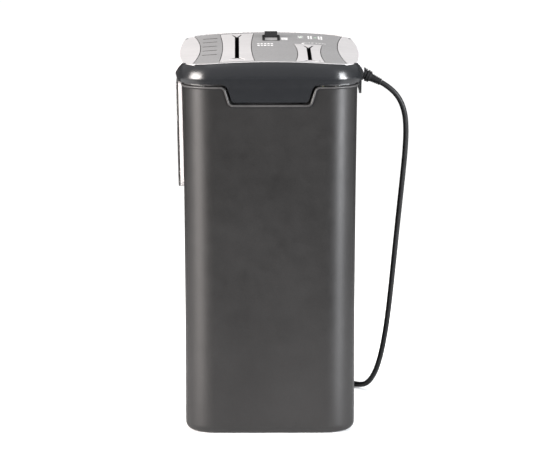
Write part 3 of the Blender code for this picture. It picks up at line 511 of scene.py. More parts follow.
def gloss_black_finish():
    """Polished black moulding with faint swirl marks and a few specks of dust."""
    made = Finish("gloss_black", (0.008, 0.0085, 0.0095), 0.1, specular=0.36)
    swirl = made.noise(140.0, 5.0, 0.65, (1.0, 0.25, 1.0))
    dust = made.between(made.cells(260.0), 0.06, 0.03, 0.0, 0.25)
    made.colour(dust, (0.008, 0.0085, 0.0095), (0.12, 0.12, 0.12))
    made.roughness(swirl, 0.2, 0.27, 0.35, 0.7)
    made.bumps((45.0, 0.05, 0.25), (made.noise(900.0, 1.0), 0.03, 0.02))
    return made.material


def dull_black_finish():
    """Black moulding with a fine grain that takes the shine off it, as inside the wells and slots; the
    same black also paints shade, as the strip of painted shadow under the rim bead and the beds seen in
    the slots' lead-in gaps.
    """
    made = Finish("dull_black", (0.006, 0.006, 0.0065), 0.6, specular=0.12)
    grain = made.noise(1300.0, 3.0, 0.6)
    pale = made.between(grain, 0.4, 0.7, 0.0, 1.0)
    made.colour(pale, (0.005, 0.005, 0.0055), (0.012, 0.012, 0.0125))
    made.roughness(grain, 0.5, 0.7)
    made.bumps((grain, 0.3, 0.06))
    return made.material


def bead_finish():
    """The basket's plastic made lighter for the edge bead: a painted sheen for the light the bead
    catches, patchy in tone.
    """
    made = Finish("painted_sheen_graphite", (0.07, 0.068, 0.068), 0.3, 0.3, specular=0.3)
    sheen_patches = made.patches(70.0, 4.0, 0.6, (0.35, 0.7))
    # both tones lie well above the basket's: painted sheen, in patches
    made.colour(sheen_patches, (0.03, 0.029, 0.029), (0.05, 0.0485, 0.0485))
    made.roughness(made.noise(160.0), 0.36, 0.46)
    made.bumps((1100.0, 0.08, 0.03))
    return made.material


def silver_finish():
    """Satin silver paint: fine metal grain over a light stipple."""
    made = Finish("silver_deck", (0.3, 0.295, 0.297), 0.42, 0.1, specular=0.12)
    grain = made.cells(1900.0, "Color")
    cloud = made.patches(14.0)
    body = made.blend(cloud, (0.195, 0.192, 0.1935), (0.22, 0.2165, 0.2185))
    made.colour(made.between(grain, 0.2, 0.9, 0.0, 0.35), body, (0.31, 0.306, 0.306))
    made.roughness(made.noise(420.0), 0.5, 0.62)
    made.bumps((1800.0, 0.18, 0.05), (30.0, 0.04, 0.4))
    return made.material


def pearl_finish():
    """Pearl white moulding with a warm cloud, fine flecks and a soft sheen."""
    made = Finish("pearl_panel", (0.80, 0.775, 0.775), 0.26, specular=0.12)
    cloud = made.patches(11.0)
    fleck = made.between(made.cells(2400.0, "Color"), 0.3, 0.9, 0.0, 0.12)
    body = made.blend(cloud, (0.39, 0.379, 0.381), (0.42, 0.408, 0.41))
    made.colour(fleck, body, (0.5, 0.486, 0.487))
    made.roughness(made.noise(75.0), 0.42, 0.52)
    made.bumps((1400.0, 0.05, 0.02))
    return made.material


def smoke_finish():
    """Smoked clear plastic, faintly scuffed."""
    made = Finish("smoked_window", (0.16, 0.155, 0.155), 0.07)
    scuff = made.noise(240.0, 5.0, 0.7, (1.0, 1.0, 0.3))
    made.colour(made.between(scuff, 0.5, 0.75, 0.0, 0.4), (0.14, 0.136, 0.136), (0.3, 0.29, 0.29))
    made.roughness(scuff, 0.05, 0.14, 0.4, 0.75)
    made.bumps((made.noise(30.0, 1.0), 0.03, 0.2))
    made.set("IOR", 1.49)
    made.set("Transmission Weight", 0.75)
    return made.material


def moulded_finish(name, colour, roughness, grain=1100.0, depth=0.12):
    """Plain spark-textured moulding, as on hidden and handled parts."""
    made = Finish(name, colour, roughness)
    texture = made.noise(grain, 3.0, 0.6)
    worn = made.patches(35.0, 4.0, 0.6, (0.45, 0.75), 0.6)
    made.colour(worn, colour, tinted(colour, 1.5, 0.006))
    made.roughness(texture, roughness - 0.06, roughness + 0.07)
    made.bumps((texture, 0.3, depth), (60.0, 0.06, 0.3))
    return made.material


def metal_finish(name, colour, roughness, lay, mottle):
    """Metal with the lay of its machining and a film of oil or oxide over it."""
    made = Finish(name, colour, roughness, 1.0)
    lines = made.noise(300.0, 4.0, 0.7, lay)
    film = made.patches(mottle, 4.0, 0.6, (0.35, 0.7))
    made.colour(film, colour, tinted(colour, 0.68))
    made.roughness(lines, roughness - 0.09, roughness + 0.1, 0.25, 0.75)
    made.bumps((lines, 0.25, 0.04), (90.0, 0.05, 0.15))
    return made.material


def zinc_finish():
    """Bright zinc plate, with the soft patchwork of its crystals."""
    made = Finish("zinc_plate", (0.62, 0.62, 0.6), 0.34, 1.0)
    patch = made.cells(140.0, "Color")
    made.colour(made.between(patch, 0.1, 0.9, 0.0, 1.0), (0.52, 0.53, 0.52), (0.7, 0.7, 0.67))
    made.roughness(made.cells(140.0), 0.26, 0.44, 0.0, 0.6)
    made.bumps((made.noise(500.0), 0.1, 0.04))
    return made.material


def nylon_finish():
    """Natural nylon: milky, a little translucent, with grease on it."""
    made = Finish("gear_nylon", (0.74, 0.71, 0.62), 0.42)
    grease = made.patches(120.0, 4.0, 0.6, (0.5, 0.7), 0.7)
    made.colour(grease, (0.74, 0.71, 0.62), (0.5, 0.44, 0.3))
    made.roughness(made.noise(200.0), 0.34, 0.5)
    made.bumps((800.0, 0.12, 0.05))
    made.set("Subsurface Weight", 0.15)
    made.set("Subsurface Scale", 0.002)
    return made.material


def rotor_finish():
    """Laminations seen edge on, with bands of varnished copper between them."""
    made = Finish("rotor_iron", (0.35, 0.2, 0.12), 0.4, 0.9)
    sheets = add_node(made.tree, "TexWave", Vector=made.coords, Scale=320.0)
    sheets.bands_direction = "Y"
    wires = made.between(made.noise(90.0, 2.0, 0.5, (1.0, 0.12, 1.0)), 0.47, 0.53, 0.0, 1.0)
    made.colour(wires, (0.24, 0.23, 0.23), (0.62, 0.26, 0.1))
    made.roughness(made.noise(300.0), 0.3, 0.5)
    made.bumps((sheets.outputs["Fac"], 0.35, 0.08))
    return made.material


def board_finish():
    """Green solder resist over copper tracks, with tinned pads."""
    made = Finish("board_green", (0.02, 0.11, 0.05), 0.38)
    tracks = made.between(made.cells(120.0, "Distance", "DISTANCE_TO_EDGE"), 0.03, 0.05, 1.0, 0.0)
    pads = made.between(made.cells(210.0), 0.16, 0.12, 0.0, 1.0)
    green = made.blend(tracks, (0.018, 0.10, 0.045), (0.04, 0.2, 0.08))
    made.colour(pads, green, (0.7, 0.68, 0.6))
    made.roughness(made.noise(250.0, 2.0), 0.3, 0.45)
    made.bumps((tracks, 0.3, 0.04))
    return made.material


def lens_finish(name, colour):
    """A small tinted lens with a diffusing body."""
    made = Finish(name, colour, 0.15)
    made.colour(made.patches(600.0, 2.0), colour, tinted(colour, 1.35, 0.04))
    made.bumps((made.cells(1500.0), 0.2, 0.05))
    made.set("Transmission Weight", 0.35)
    return made.material


def cord_finish():
    """Black PVC with a dull bloom and fine extrusion lines."""
    made = Finish("cord_pvc", (0.014, 0.014, 0.015), 0.42, specular=0.16)
    bloom = made.patches(45.0, 4.0, 0.6, (0.4, 0.75), 0.7)
    made.colour(bloom, (0.006, 0.006, 0.0065), (0.016, 0.016, 0.0165))
    made.roughness(made.noise(400.0), 0.4, 0.54)
    made.bumps((made.noise(900.0), 0.2, 0.06))
    return made.material


def ink_finish():
    """White screen print, thin enough to let the paint's grain through."""
    made = Finish("white_ink", (0.86, 0.85, 0.85), 0.5)
    thin = made.patches(900.0, 3.0, 0.6, (0.5, 0.8), 0.5)
    made.colour(thin, (0.66, 0.65, 0.65), (0.48, 0.47, 0.47))
    made.bumps((1200.0, 0.1, 0.03))
    return made.material


def plain_name(material):
    """A material's name without the number that tells it from another of that name."""
    return material.name.split(".")[0]


def all_finishes():
    made = [
        basket_finish(),
        gloss_black_finish(),
        silver_finish(),
        pearl_finish(),
        smoke_finish(),
        moulded_finish("tray_plastic", (0.02, 0.02, 0.021), 0.5),
        metal_finish("cutter_steel", (0.5, 0.5, 0.51), 0.3, (1.0, 6.0, 1.0), 70.0),
        zinc_finish(),
        nylon_finish(),
        metal_finish("bush_bronze", (0.56, 0.38, 0.18), 0.4, (1.0, 1.0, 1.0), 240.0),
        rotor_finish(),
        board_finish(),
        moulded_finish("grip_rubber", (0.014, 0.014, 0.015), 0.48, 700.0, 0.08),
        lens_finish("lens_green", (0.42, 0.66, 0.45)),
        cord_finish(),
        metal_finish("plug_brass", (0.72, 0.56, 0.3), 0.26, (8.0, 1.0, 1.0), 110.0),
        ink_finish(),
        dull_black_finish(),
        bead_finish(),
    ]
    return {plain_name(material): material for material in made}


# ---- camera, lead and plug

def add_camera():
    data = bpy.data.cameras.new("camera")
    data.lens = CAMERA_LENS
    data.sensor_width = 36.0
    data.clip_end = 100.0
    camera = linked("camera", data)
    camera.location = Vector(CAMERA_PLACE) * MM
    camera.rotation_euler = (radians(90.0 - CAMERA_PITCH), 0.0, -radians(CAMERA_YAW))
    bpy.context.scene.camera = camera


def coil_points():
    """The stored turns, clockwise from the side nearest the basket: out and in, layer on layer."""
    low = CORD_R + 0.15
    step = 2 * CORD_R + 0.05
    outer, inner = COIL_TURN_R
    order = ((outer, 0), (inner, 0), (inner, 1), (outer, 1), (outer, 2))
    turns = [(radius, low + layer * step) for radius, layer in order]
    points = []
    for index, here in enumerate(turns):
        after = turns[min(index + 1, len(turns) - 1)]
        for i in range(COIL_STEPS):
            share = i / COIL_STEPS
            ease = max(0.0, (share - 0.78) / 0.22)
            ease = ease * ease * (3 - 2 * ease)
            radius, height = (a + (b - a) * ease for a, b in zip(here, after))
            angle = -pi / 2 - 2 * pi * share
            points.append((COIL_CENTRE[0] + radius * cos(angle),
                           COIL_CENTRE[1] + radius * sin(angle), height))
    return points


def lead_route():
    """From the boot down to the floor, round behind the basket, through the coil to the plug."""
    top = COIL_CENTRE[1] - COIL_TURN_R[0]
    last = (COIL_CENTRE[0], top, coil_points()[-1][2])
    return spline([*CORD_ROUTE, *coil_points(), last, (29.0, 176.0, 13.2), *PLUG_LEAD], 3)


def mains_lead(look, plug_pieces):
    route = lead_route()
    made = new_object("mains_lead", tube(route, CORD_R))
    made.data.materials.append(look["cord_pvc"])
    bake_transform(made)
    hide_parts("power_cord", "cord_coil", "plug_lead")


def plug_shell(look):
    """A flat moulded plug: a round neck that spreads into a rounded grip."""
    sections = [(-7.9, 4.3, 4.3), (-10.0, 4.9, 4.8), (-13.0, 5.3, 5.1), (-17.0, 6.6, 5.6),
                (-21.0, 8.9, 6.3), (-26.0, 11.0, 6.8), (-32.0, 11.6, 7.0), (-37.0, 11.9, 7.1),
                (-40.5, 11.8, 7.0), (-41.6, 11.3, 6.5), (-42.0, 10.4, 5.6)]
    loops = []
    for x, half_y, half_z in (tuple(p) for p in spline(sections, 3)):
        corner = min(half_y, half_z) * 0.96
        loops.append([place(y, z, x, "x") for y, z in
                      rounded(half_y, half_z, corner, 6, 2, 4, (PLUG_Y, PLUG_MIDDLE_Z))])
    made = new_object("plug_shell", loft(loops), sharp=50.0)
    return fit(made, look["cord_pvc"], "basket", "cord_pvc", "plug_body")


def coil_tie(look):
    """A strap round the bundle of turns, on the side away from the basket."""
    x, y, z = COIL_CENTRE[0], COIL_CENTRE[1] + sum(COIL_TURN_R) / 2, COIL_HIGH / 2 + 0.5
    path = [(x, *point) for point in rounded(7.6, 9.75, 3.4, 6, 3, 3, (y, z))]
    outward = [Vector(p) - Vector((x, y, z)) for p in path]
    profile = [(-0.3, -4.5), (0.5, -4.5), (0.7, -4.2), (0.7, 4.2), (0.5, 4.5), (-0.3, 4.5)]
    made = new_object("coil_tie", sweep(path, outward, profile, True))
    return fit(made, look["grip_rubber"], "basket", "grip_rubber")


def gland_shape(profile):
    """Turn a profile about the gland's leaning axis."""
    bm = turned(profile, (0.0, 0.0), "x")
    lean = Matrix.Translation(GLAND_ROOT) @ Matrix.Rotation(radians(GLAND_TILT), 4, "Y")
    bmesh.ops.transform(bm, matrix=lean, verts=bm.verts)
    return bm


def strain_relief(look):
    """A ribbed gland with a boot that thins towards the lead and has notches round it, as a real boot
    has where it bends; this piece stays rigid.
    """
    profile = [(-5.0, 5.2), (-2.8, 5.4), (-2.8, 4.3), (0.0, 4.3), (0.0, 7.1), (0.3, 7.4), (2.0, 7.4),
               (2.3, 7.1), (2.3, 6.2), (3.0, 6.2), (3.0, 7.1), (3.3, 7.35), (4.4, 7.3), (4.7, 7.0),
               (4.7, 5.7), (6.3, 5.7), (6.3, 6.9), (6.6, 7.2), (8.4, 7.1), (8.6, 6.8), (8.6, 6.0),
               (9.3, 6.0), (9.3, 6.7), (9.5, 6.95), (10.9, 6.7), (11.2, 6.4), (11.2, 5.1)]
    for i in range(5):
        start = 12.8 + 2.3 * i
        radius = 5.0 - 0.2 * i
        notch = ((0.0, 0.0), (0.1, 0.75), (0.9, 0.8), (1.0, 0.1))
        profile += [(start + along, radius - deep) for along, deep in notch]
    profile += [(24.6, 4.0), (25.0, 3.7)]
    made = new_object("ribbed_boot", gland_shape(profile), sharp=30.0)
    return fit(made, look["dull_black"], "head", "gloss_black", "strain_relief")


# ---- the basket

def basket_loop(inset, z):
    flare = BASKET_FLARE * (z / BASKET_HEIGHT) ** FLARE_POWER
    half_x, half_y = BASKET_HALF[0] + flare - inset, BASKET_HALF[1] + flare - inset
    return [(x, y, z) for x, y in rounded(half_x, half_y, BASKET_CORNER - inset, 14, 24, 24)]


def corner(before, at, after, radius, count=8):
    """Points on the arc that rounds a corner between two straight edges."""
    at, into, away = Vector(at), Vector(before) - Vector(at), Vector(after) - Vector(at)
    into.normalize()
    away.normalize()
    half = into.angle(away) / 2
    centre = at + (into + away).normalized() * radius / sin(half)
    first, last = (at + edge * radius / tan(half) - centre for edge in (into, away))
    return [tuple(centre + radius * first.normalized().slerp(last.normalized(), i / count))
            for i in range(count + 1)]


def tongue_line(tongue, shoulder, tip, root):
    """A tongue's edge from its flared right shoulder, round its tip, to its left shoulder."""
    wide, narrow, low = tongue
    right = corner((wide + 30.0, root), (wide, root), (narrow, low), shoulder)
    right += corner((wide, root), (narrow, low), (0.0, low), tip, 6)
    return right + [(-x, z) for x, z in reversed(right)]


def basket_shell(look):
    """The moulded basket: foot radius, flared wall, notched ends and an opening for the window."""
    foot = 9.5
    steps = [radians(10 * i) for i in range(10)]
    outside = [(14.0, 0.0)] + [(foot * (1 - sin(a)), foot * (1 - cos(a))) for a in steps]
    outside += [(0.0, foot + (402.0 - foot) * i / 14) for i in range(1, 15)]
    outside += [(0.0, 405.4), (0.35, 406.1), (0.9, BASKET_HEIGHT)]
    inside = [(2.0, BASKET_HEIGHT), (BASKET_WALL, 405.8)]
    inside += [(BASKET_WALL, 402.0 - 390.0 * i / 10) for i in range(11)]
    inside += [(4.0, 7.5), (7.0, 4.6), (13.0, 3.0)]
    notch_line = tongue_line(END_NOTCH, 7.5, 4.5, BASKET_HEIGHT)
    reach = notch_line[0][0]
    notch = prism([(reach, 420.0), *notch_line, (-reach, 420.0)], -190.0, 190.0, "y")
    window = prism(rounded(*WINDOW_OPENING, 6, 2, 2, (0.0, WINDOW_MIDDLE_Z)), -115.0, -85.0, "x")
    post = block(*SWITCH_POST)
    made = carved("basket_shell", loft([basket_loop(*pair) for pair in outside + inside]),
                  ("UNION", post), ("DIFFERENCE", notch, window))
    fit(soften(made, 0.35), look["basket_plastic"], "basket", "basket_plastic", "waste_basket")


def rim_bead(look):
    """The bead along the basket's edge, dipping round the notch at each end, with a dark strip under it
    that is the bead's painted shadow.
    """
    drop, proud = 1.45, 0.15
    height = BASKET_HEIGHT - drop
    half_x, half_y = (half + BASKET_FLARE + proud for half in BASKET_HALF)
    flat_x, flat_y = half_x - BASKET_CORNER, half_y - BASKET_CORNER
    wide, narrow, low = END_NOTCH
    dip = tongue_line((wide + 0.8 * drop, narrow + drop, low - drop), 7.5 - drop, 4.5 + drop, height)
    reach = dip[0][0]
    path = []
    for x, y in rounded(half_x, half_y, BASKET_CORNER, 14, 24, 24):
        if abs(y) < half_y - 0.01 or abs(x) > reach + 1.0:
            path.append((x, y, height))
        elif path[-1][2] == height and (abs(path[-1][1]) < half_y - 0.01 or path[-1][0] * y > 0):
            path += [(along, y, z) for along, z in (dip if y > 0 else reversed(dip))]
    outward = []
    for x, y, _ in path:
        near = (max(-flat_x, min(x, flat_x)), max(-flat_y, min(y, flat_y)))
        outward.append((x - near[0], y - near[1], 0.0))
    bead = [(-1.0, -1.05), (0.5, -1.1), (1.0, -0.9), (1.3, -0.5), (1.35, 0.0), (1.3, 0.5), (1.0, 0.95),
            (0.5, 1.15), (-1.0, 1.1)]
    # sideways is downwards on this path, so this dark strip lies under the bead, where it paints the
    # bead's shadow
    shadow_profile = [(-1.0, 1.15), (0.12, 1.15), (0.12, 2.25), (-1.0, 2.25)]
    for name, profile, finish in (("rim_bead", bead, "painted_sheen_graphite"),
                                  ("bead_shade_strip", shadow_profile, "dull_black")):
        made = new_object(name, sweep(path, outward, profile, True), sharp=60.0)
        fit(made, look[finish], "basket", "basket_plastic")


def window_plate(outline, back, front, hole=None):
    """A plate on the window's wall, leaned as that wall is; with a hole, the solid to cut it too."""
    lean = (Matrix.Translation((BEZEL_BACK_X, 0.0, WINDOW_MIDDLE_Z))
            @ Matrix.Rotation(-radians(WINDOW_TILT), 4, "Y"))
    solids = [prism(outline, -front, -back, "x")]
    if hole:
        solids.append(prism(hole, -front - 5.0, -back + 5.0, "x"))
    for bm in solids:
        bmesh.ops.transform(bm, matrix=lean, verts=bm.verts)
    return solids


def window_outline():
    """Nearly square upper corners and round lower ones, about the window's middle."""
    half_y, half_z = WINDOW_HALF_Y, WINDOW_HALF_Z
    low_r, top_r = WINDOW_CORNER, 2.5
    points = arc(-half_y + low_r, -half_z + low_r, low_r, 180, 270, 10)
    points += arc(half_y - low_r, -half_z + low_r, low_r, 270, 360, 10)
    points += arc(half_y - top_r, half_z - top_r, top_r, 0, 90, 4)
    return points + arc(-half_y + top_r, half_z - top_r, top_r, 90, 180, 4)


def window(look):
    hole = rounded(*WINDOW_OPENING, 8, 2, 2)
    frame, cutter = window_plate(window_outline(), 0.0, BEZEL_DEPTH, hole)
    bezel = soften(carved("bezel_frame", frame, ("DIFFERENCE", cutter)), 0.6, 3)
    fit(bezel, look["pearl_panel"], "basket", "pearl_panel", "window_bezel")
    back = BEZEL_DEPTH + GAP
    pane = new_object("window_glass", *window_plate(window_outline(), back, back + PANE_THICK))
    fit(soften(pane, 0.8, 3), look["smoked_window"], "basket", "smoked_window", "window_pane")


# ---- the head's shells

GROOVE = 0.95  # the shadow line between two panels
BAND = 3.0  # thickness of the black band and its tongues
LINER = 0.45  # thickness of the slots' black lining
# A slot's flared end by side: how far it reaches, half its mouth, and the gap at each edge where the
# black bed shows as a line of painted shade
LEAD_IN = {-1: (17.0, 10.4, 0.6), 1: (25.0, 6.8, 2.1)}
# The holes in the inner shell under the panels: middle, half width, and where they start and end
CHUTE_HOLES = ((PAPER.x, 14.5, (-137.0, 137.0)), (DISC.x, 11.0, (-143.0, 26.0)))


def outer_skin():
    """Steps that leave only the head's outer skin."""
    return loft(head_loops(0.0)), ("DIFFERENCE", loft(head_loops(SKIN, 20.0)))


def cheek_region(side, grow=0.0):
    """The space a cheek fills: everything above its lower edge, which sweeps up towards both ends."""
    half = CHEEK_HALF_Y + grow
    outline = []
    for i in range(49):
        y = half * (-1 + i / 24)
        share = min(1.0, abs(y) / CHEEK_SWEEP_Y) ** 2.2
        outline.append((y, CHEEK_LOW + (CHEEK_TIP - CHEEK_LOW) * share - grow))
    low, high = sorted((side * 60.0, side * 130.0))
    return prism(outline + [(half, 470.0), (-half, 470.0)], low, high, "x")


def gland_hole():
    return gland_shape([(-12.0, 6.1), (-0.3, 6.1), (-0.3, 8.0), (40.0, 8.0)])


def switch_loop(grow, segments=5):
    half_y = (SWITCH_WELL_Y[1] - SWITCH_WELL_Y[0]) / 2
    return rounded(SWITCH_WELL_HALF_X + grow, half_y + grow, 2.0 + grow / 2, segments, 2, 2,
                   (SWITCH_X, sum(SWITCH_WELL_Y) / 2))


def well_holes():
    """Openings for the switch and the two lamps."""
    return [prism(switch_loop(1.6 + GAP), *THROUGH)] + [
        prism(circle(x, y, 3.0, 24), *THROUGH) for x, y in LENSES]


def deck(look):
    base, hollow = outer_skin()
    made = carved("deck_skin", base, hollow, ("INTERSECT", prism(deck_outline(-GROOVE), *THROUGH)),
                  ("DIFFERENCE", prism(waisted(PAPER, GROOVE), *THROUGH),
                   prism(waisted(DISC, GROOVE), *THROUGH), *well_holes()))
    fit(soften(made, 0.4), look["silver_deck"], "head", "silver_deck", "deck_panel")


def deck_lip(look):
    """The thin pearl edge that closes the deck at each end."""
    profile = circle(0.0, 0.2, 0.55, 10)
    for side, name in ((-1, "near_lip"), (1, "far_lip")):
        edge = sorted((x, y) for x, y in head_outline(DECK_INSET - 0.55) if y * side > 0)
        path = [crowned(x, y, HEAD_TOP) for x, y in edge if abs(x) < DECK_HALF[1] + 1.0]
        outward = [(0.0, side, 0.0)] * len(path)
        made = new_object(name, sweep(path, outward, profile, False), sharp=60.0)
        fit(made, look["pearl_panel"], "head", "pearl_panel")


def cheeks(look):
    for side, name in ((-1, "front"), (1, "rear")):
        base, hollow = outer_skin()
        made = carved(f"{name}_cheek_skin", base, hollow, ("INTERSECT", cheek_region(side)),
                      ("DIFFERENCE", prism(deck_outline(0.1), 390.0, 475.0), gland_hole()))
        fit(soften(made, 0.5), look["pearl_panel"], "head", "pearl_panel", f"{name}_cheek")


def level(centre_x, half_x, y, z):
    """Four corners at one height: half widths at the two ends, between two lengthwise places."""
    return [(centre_x - half_x[0], y[0], z), (centre_x + half_x[0], y[0], z),
            (centre_x + half_x[1], y[1], z), (centre_x - half_x[1], y[1], z)]


def lead_in(panel, side):
    """A slot's flared end: the opening cut for it, the wedge lying in it and the black bed beneath,
    which shows in the gaps beside the wedge as painted shade.
    """
    x, half, surface = panel.x, panel.slot, top_at(panel.x)
    end = panel.slot_y[side > 0]
    edge = panel.y + side * panel.half_y
    reach, wide, line = LEAD_IN[side]
    mouth = end + side * min(reach, abs(edge - end) - 3.0)
    start, tip = end - side * 3.0, end + side * 4.0
    wedge = [(x - half, start), (x + half, start), (x + wide, mouth), (x - wide, mouth)]
    opening = prism(wedge, 426.0, 440.0)
    tops = [level(x, (0.3, wide - line), (tip, mouth + side * 0.6), z) for z in (429.5, surface - 0.1)]
    across = (x - wide - 1.0, x + wide + 1.0)
    bed = block(across, sorted((start, mouth + side * 0.8)), (427.4, surface - 0.6))
    return opening, loft(tops), bed


def throat(panel, name, look):
    """A pearl panel with a black-lined slot and a wedge-shaped lead-in at each end of it."""
    x, half = panel.x, panel.slot
    near, far = panel.slot_y
    base, hollow = outer_skin()
    openings, wedges, beds = zip(*(lead_in(panel, side) for side in (-1, 1)))
    slot = block((x - half, x + half), (near, far), (390.0, 470.0))
    made = carved(f"{name}_panel", base, hollow, ("INTERSECT", prism(waisted(panel), *THROUGH)),
                  ("DIFFERENCE", slot, *openings), ("UNION", *wedges))
    fit(soften(made, 0.3), look["pearl_panel"], "head", "pearl_panel", f"{name}_throat")
    top = top_at(x) - 0.8
    chute = []
    for grow, z in ((-0.06, 400.0), (-0.06, top), (-LINER, top), (-LINER, 400.0)):
        chute.append(level(x, (half + grow, half + grow), (near - grow, far + grow), z))
    clear = block((x - half, x + half), (near, far), (420.0, 440.0))
    # the beds are black so that the gaps beside the wedges show painted shade
    bed = taken_back(carved(f"{name}_beds", merged(*beds), ("DIFFERENCE", clear)))
    made = new_object(f"{name}_chute", merged(loft(chute, True), bed))
    fit(soften(made, 0.15), look["dull_black"], "head", "tray_plastic")


def housing(look):
    """The black band with its tongues, over the inner shell that carries the deck and the cheeks."""
    ends = tongue_line(END_TONGUE, 9.0, 4.0, HEAD_LOW)
    above = [(140.0, 480.0), (140.0, HEAD_LOW), *ends, (-140.0, HEAD_LOW), (-140.0, 480.0)]
    rear = tongue_line(REAR_TONGUE, 6.0, 4.5, HEAD_LOW)
    rear_keep = prism([(rear[0][0], 430.0), *rear, (-rear[0][0], 430.0)], 60.0, 150.0, "x")
    keep = taken_back(carved("kept", prism(above, -195.0, 195.0, "y"), ("UNION", rear_keep)))
    band = carved("band", loft(head_loops(0.0)), ("DIFFERENCE", loft(head_loops(BAND, 20.0))),
                  ("DIFFERENCE", prism(deck_outline(0.2), 390.0, 475.0), cheek_region(-1, GAP),
                   cheek_region(1, GAP)), ("INTERSECT", keep), ("DIFFERENCE", gland_hole()))
    chutes = [block((x - half, x + half), y, THROUGH) for x, half, y in CHUTE_HOLES]
    above_low = block((-140.0, 140.0), (-195.0, 195.0), (HEAD_LOW + 0.4, 470.0))
    inner = carved("inner", loft(head_loops(SKIN + 0.1)),
                   ("DIFFERENCE", loft(head_loops(2 * SKIN, 20.0))), ("INTERSECT", above_low),
                   ("DIFFERENCE", *chutes, *well_holes(), gland_hole()))
    made = new_object("housing_shell", merged(taken_back(band), taken_back(inner)))
    fit(soften(made, 0.35), look["gloss_black"], "head", "gloss_black", "head_housing")


# ---- the switch, lamps and marks

def switch(look):
    """The well with its rim, and the slider: a ramp on the near side, a ridged grip on the far one."""
    floor = 428.0
    well = [(1.6, floor - 2.0), (1.6, HEAD_TOP + 0.3), (0.0, HEAD_TOP + 0.3), (0.0, floor)]
    loops = [[(x, y, z) for x, y in switch_loop(grow, 8)] for grow, z in well]
    made = new_object("switch_well", loft(loops))
    fit(soften(made, 0.35, 3), look["dull_black"], "head", "gloss_black", "switch_bezel")

    near, far = SLIDER_Y
    top = HEAD_TOP - 0.6
    side = [(near, floor + GAP), (far, floor + GAP), (far, top), (near + 7.5, top),
            (near + 2.0, top - 2.6), (near, top - 3.2)]
    width = (SWITCH_X - SLIDER_HALF_X, SWITCH_X + SLIDER_HALF_X)
    made = soften(new_object("slider_plate", prism(side, *width, "x")), 0.5, 3)
    fit(made, look["silver_deck"], "switch", "silver_deck", "switch_slider")

    peak = HEAD_TOP + GRIP_HEIGHT
    ridge = [(GRIP_Y[1], HEAD_TOP - GAP), (GRIP_Y[1], peak - 1.6), (GRIP_Y[1] - 1.4, peak - 0.3)]
    for i in range(4):
        start = GRIP_Y[1] - 2.4 - 2.4 * i
        notch = ((0.0, 0.0), (0.5, 0.9), (1.2, 0.9), (1.7, 0.0))
        ridge += [(start - along, peak - deep) for along, deep in notch]
    ridge += [(GRIP_Y[0] + 0.9, peak - 0.9), (GRIP_Y[0], peak - 2.4), (GRIP_Y[0], HEAD_TOP - GAP)]
    made = soften(new_object("grip_bar", prism(ridge, *width, "x")), 0.35)
    fit(made, look["dull_black"], "switch", "grip_rubber", "switch_grip")


def lamps(look):
    for index, (x, y) in enumerate(LENSES, start=1):
        top = top_at(x) + 0.2
        dome = [(2.6 * cos(a), 0.7 * sin(a)) for a in (pi * i / 16 for i in range(8))]
        profile = [(top - 6.0, 2.6), *((top - 0.7 + high, radius) for radius, high in dome), (top, 0.2)]
        made = new_object(f"lamp_{index}", turned(profile, (x, y), "z", 32))
        fit(made, look["lens_green"], "head", "lens_green", f"status_lens_{index}")


def on_deck(outline, low, high):
    """A thin solid that follows the deck's crown, between two heights above it."""
    bm = prism(outline, 0.0, 1.0)
    for vert in bm.verts:
        vert.co.z = top_at(vert.co.x) + low + (high - low) * vert.co.z
    return bm


def oblong(x, y, half_x, half_y, corner=0.5):
    return rounded(half_x, half_y, min(corner, half_x * 0.9, half_y * 0.9), 2, 2, 2, (x, y))


def printed_marks(look):
    """Plain printed blocks where the markings are: rows of symbols beside the switch and the lamps."""
    marks = [oblong(19.0, 75.5 + 6.4 * row, 4.0, 1.7) for row in range(4)]
    for step in range(5):
        marks += [oblong(-12.5 + 4.0 * step, y, 1.4, 3.6) for y in (12.0, 30.0)]
    marks += [oblong(38.5, 100.0, 3.6, 1.4), oblong(38.5, 118.0, 3.6, 1.4)]
    marks += [oblong(x, 109.0, 1.0, 16.5) for x in (48.2, 51.4, 60.6, 63.8)]
    for step in range(11):
        turn = radians(196.0 - 16.0 * step)
        marks.append(oblong(55.0 + 15.0 * cos(turn), 41.0 + 9.0 * sin(turn), 1.2, 1.0))
    made = new_object("printed_marks", merged(*(on_deck(mark, 0.02, 0.1) for mark in marks)))
    fit(made, look["white_ink"], "head", None)


def thumb_ribs(look):
    """Short raised ribs in the deck along its window side."""
    ribs = []
    for y in (-66.0, -22.0, 22.0, 67.0, 106.0):
        ribs.append(on_deck(oblong(-70.2, y, 8.8, 1.3, 1.2), -0.6, 0.35))
    made = soften(new_object("thumb_ribs", merged(*ribs)), 0.3)
    fit(made, look["painted_sheen_graphite"], "head", "silver_deck")


# ---- stage, lights and the rest

def plain_material(name, colour, roughness):
    """Faintly uneven matt paint."""
    made = Finish(name, colour, roughness, specular=0.2)
    made.colour(made.patches(0.6, 2.0), colour, tinted(colour, 0.99))
    return made.material


def add_floor():
    mesh = bpy.data.meshes.new("floor")
    bm = bmesh.new()
    bmesh.ops.create_grid(bm, x_segments=2, y_segments=2, size=30.0)
    bm.to_mesh(mesh)
    bm.free()
    floor = linked("floor", mesh)
    floor.location = (0.0, 20.0, -0.0004)
    mesh.materials.append(plain_material("floor_paint", (0.95, 0.95, 0.95), 0.7))


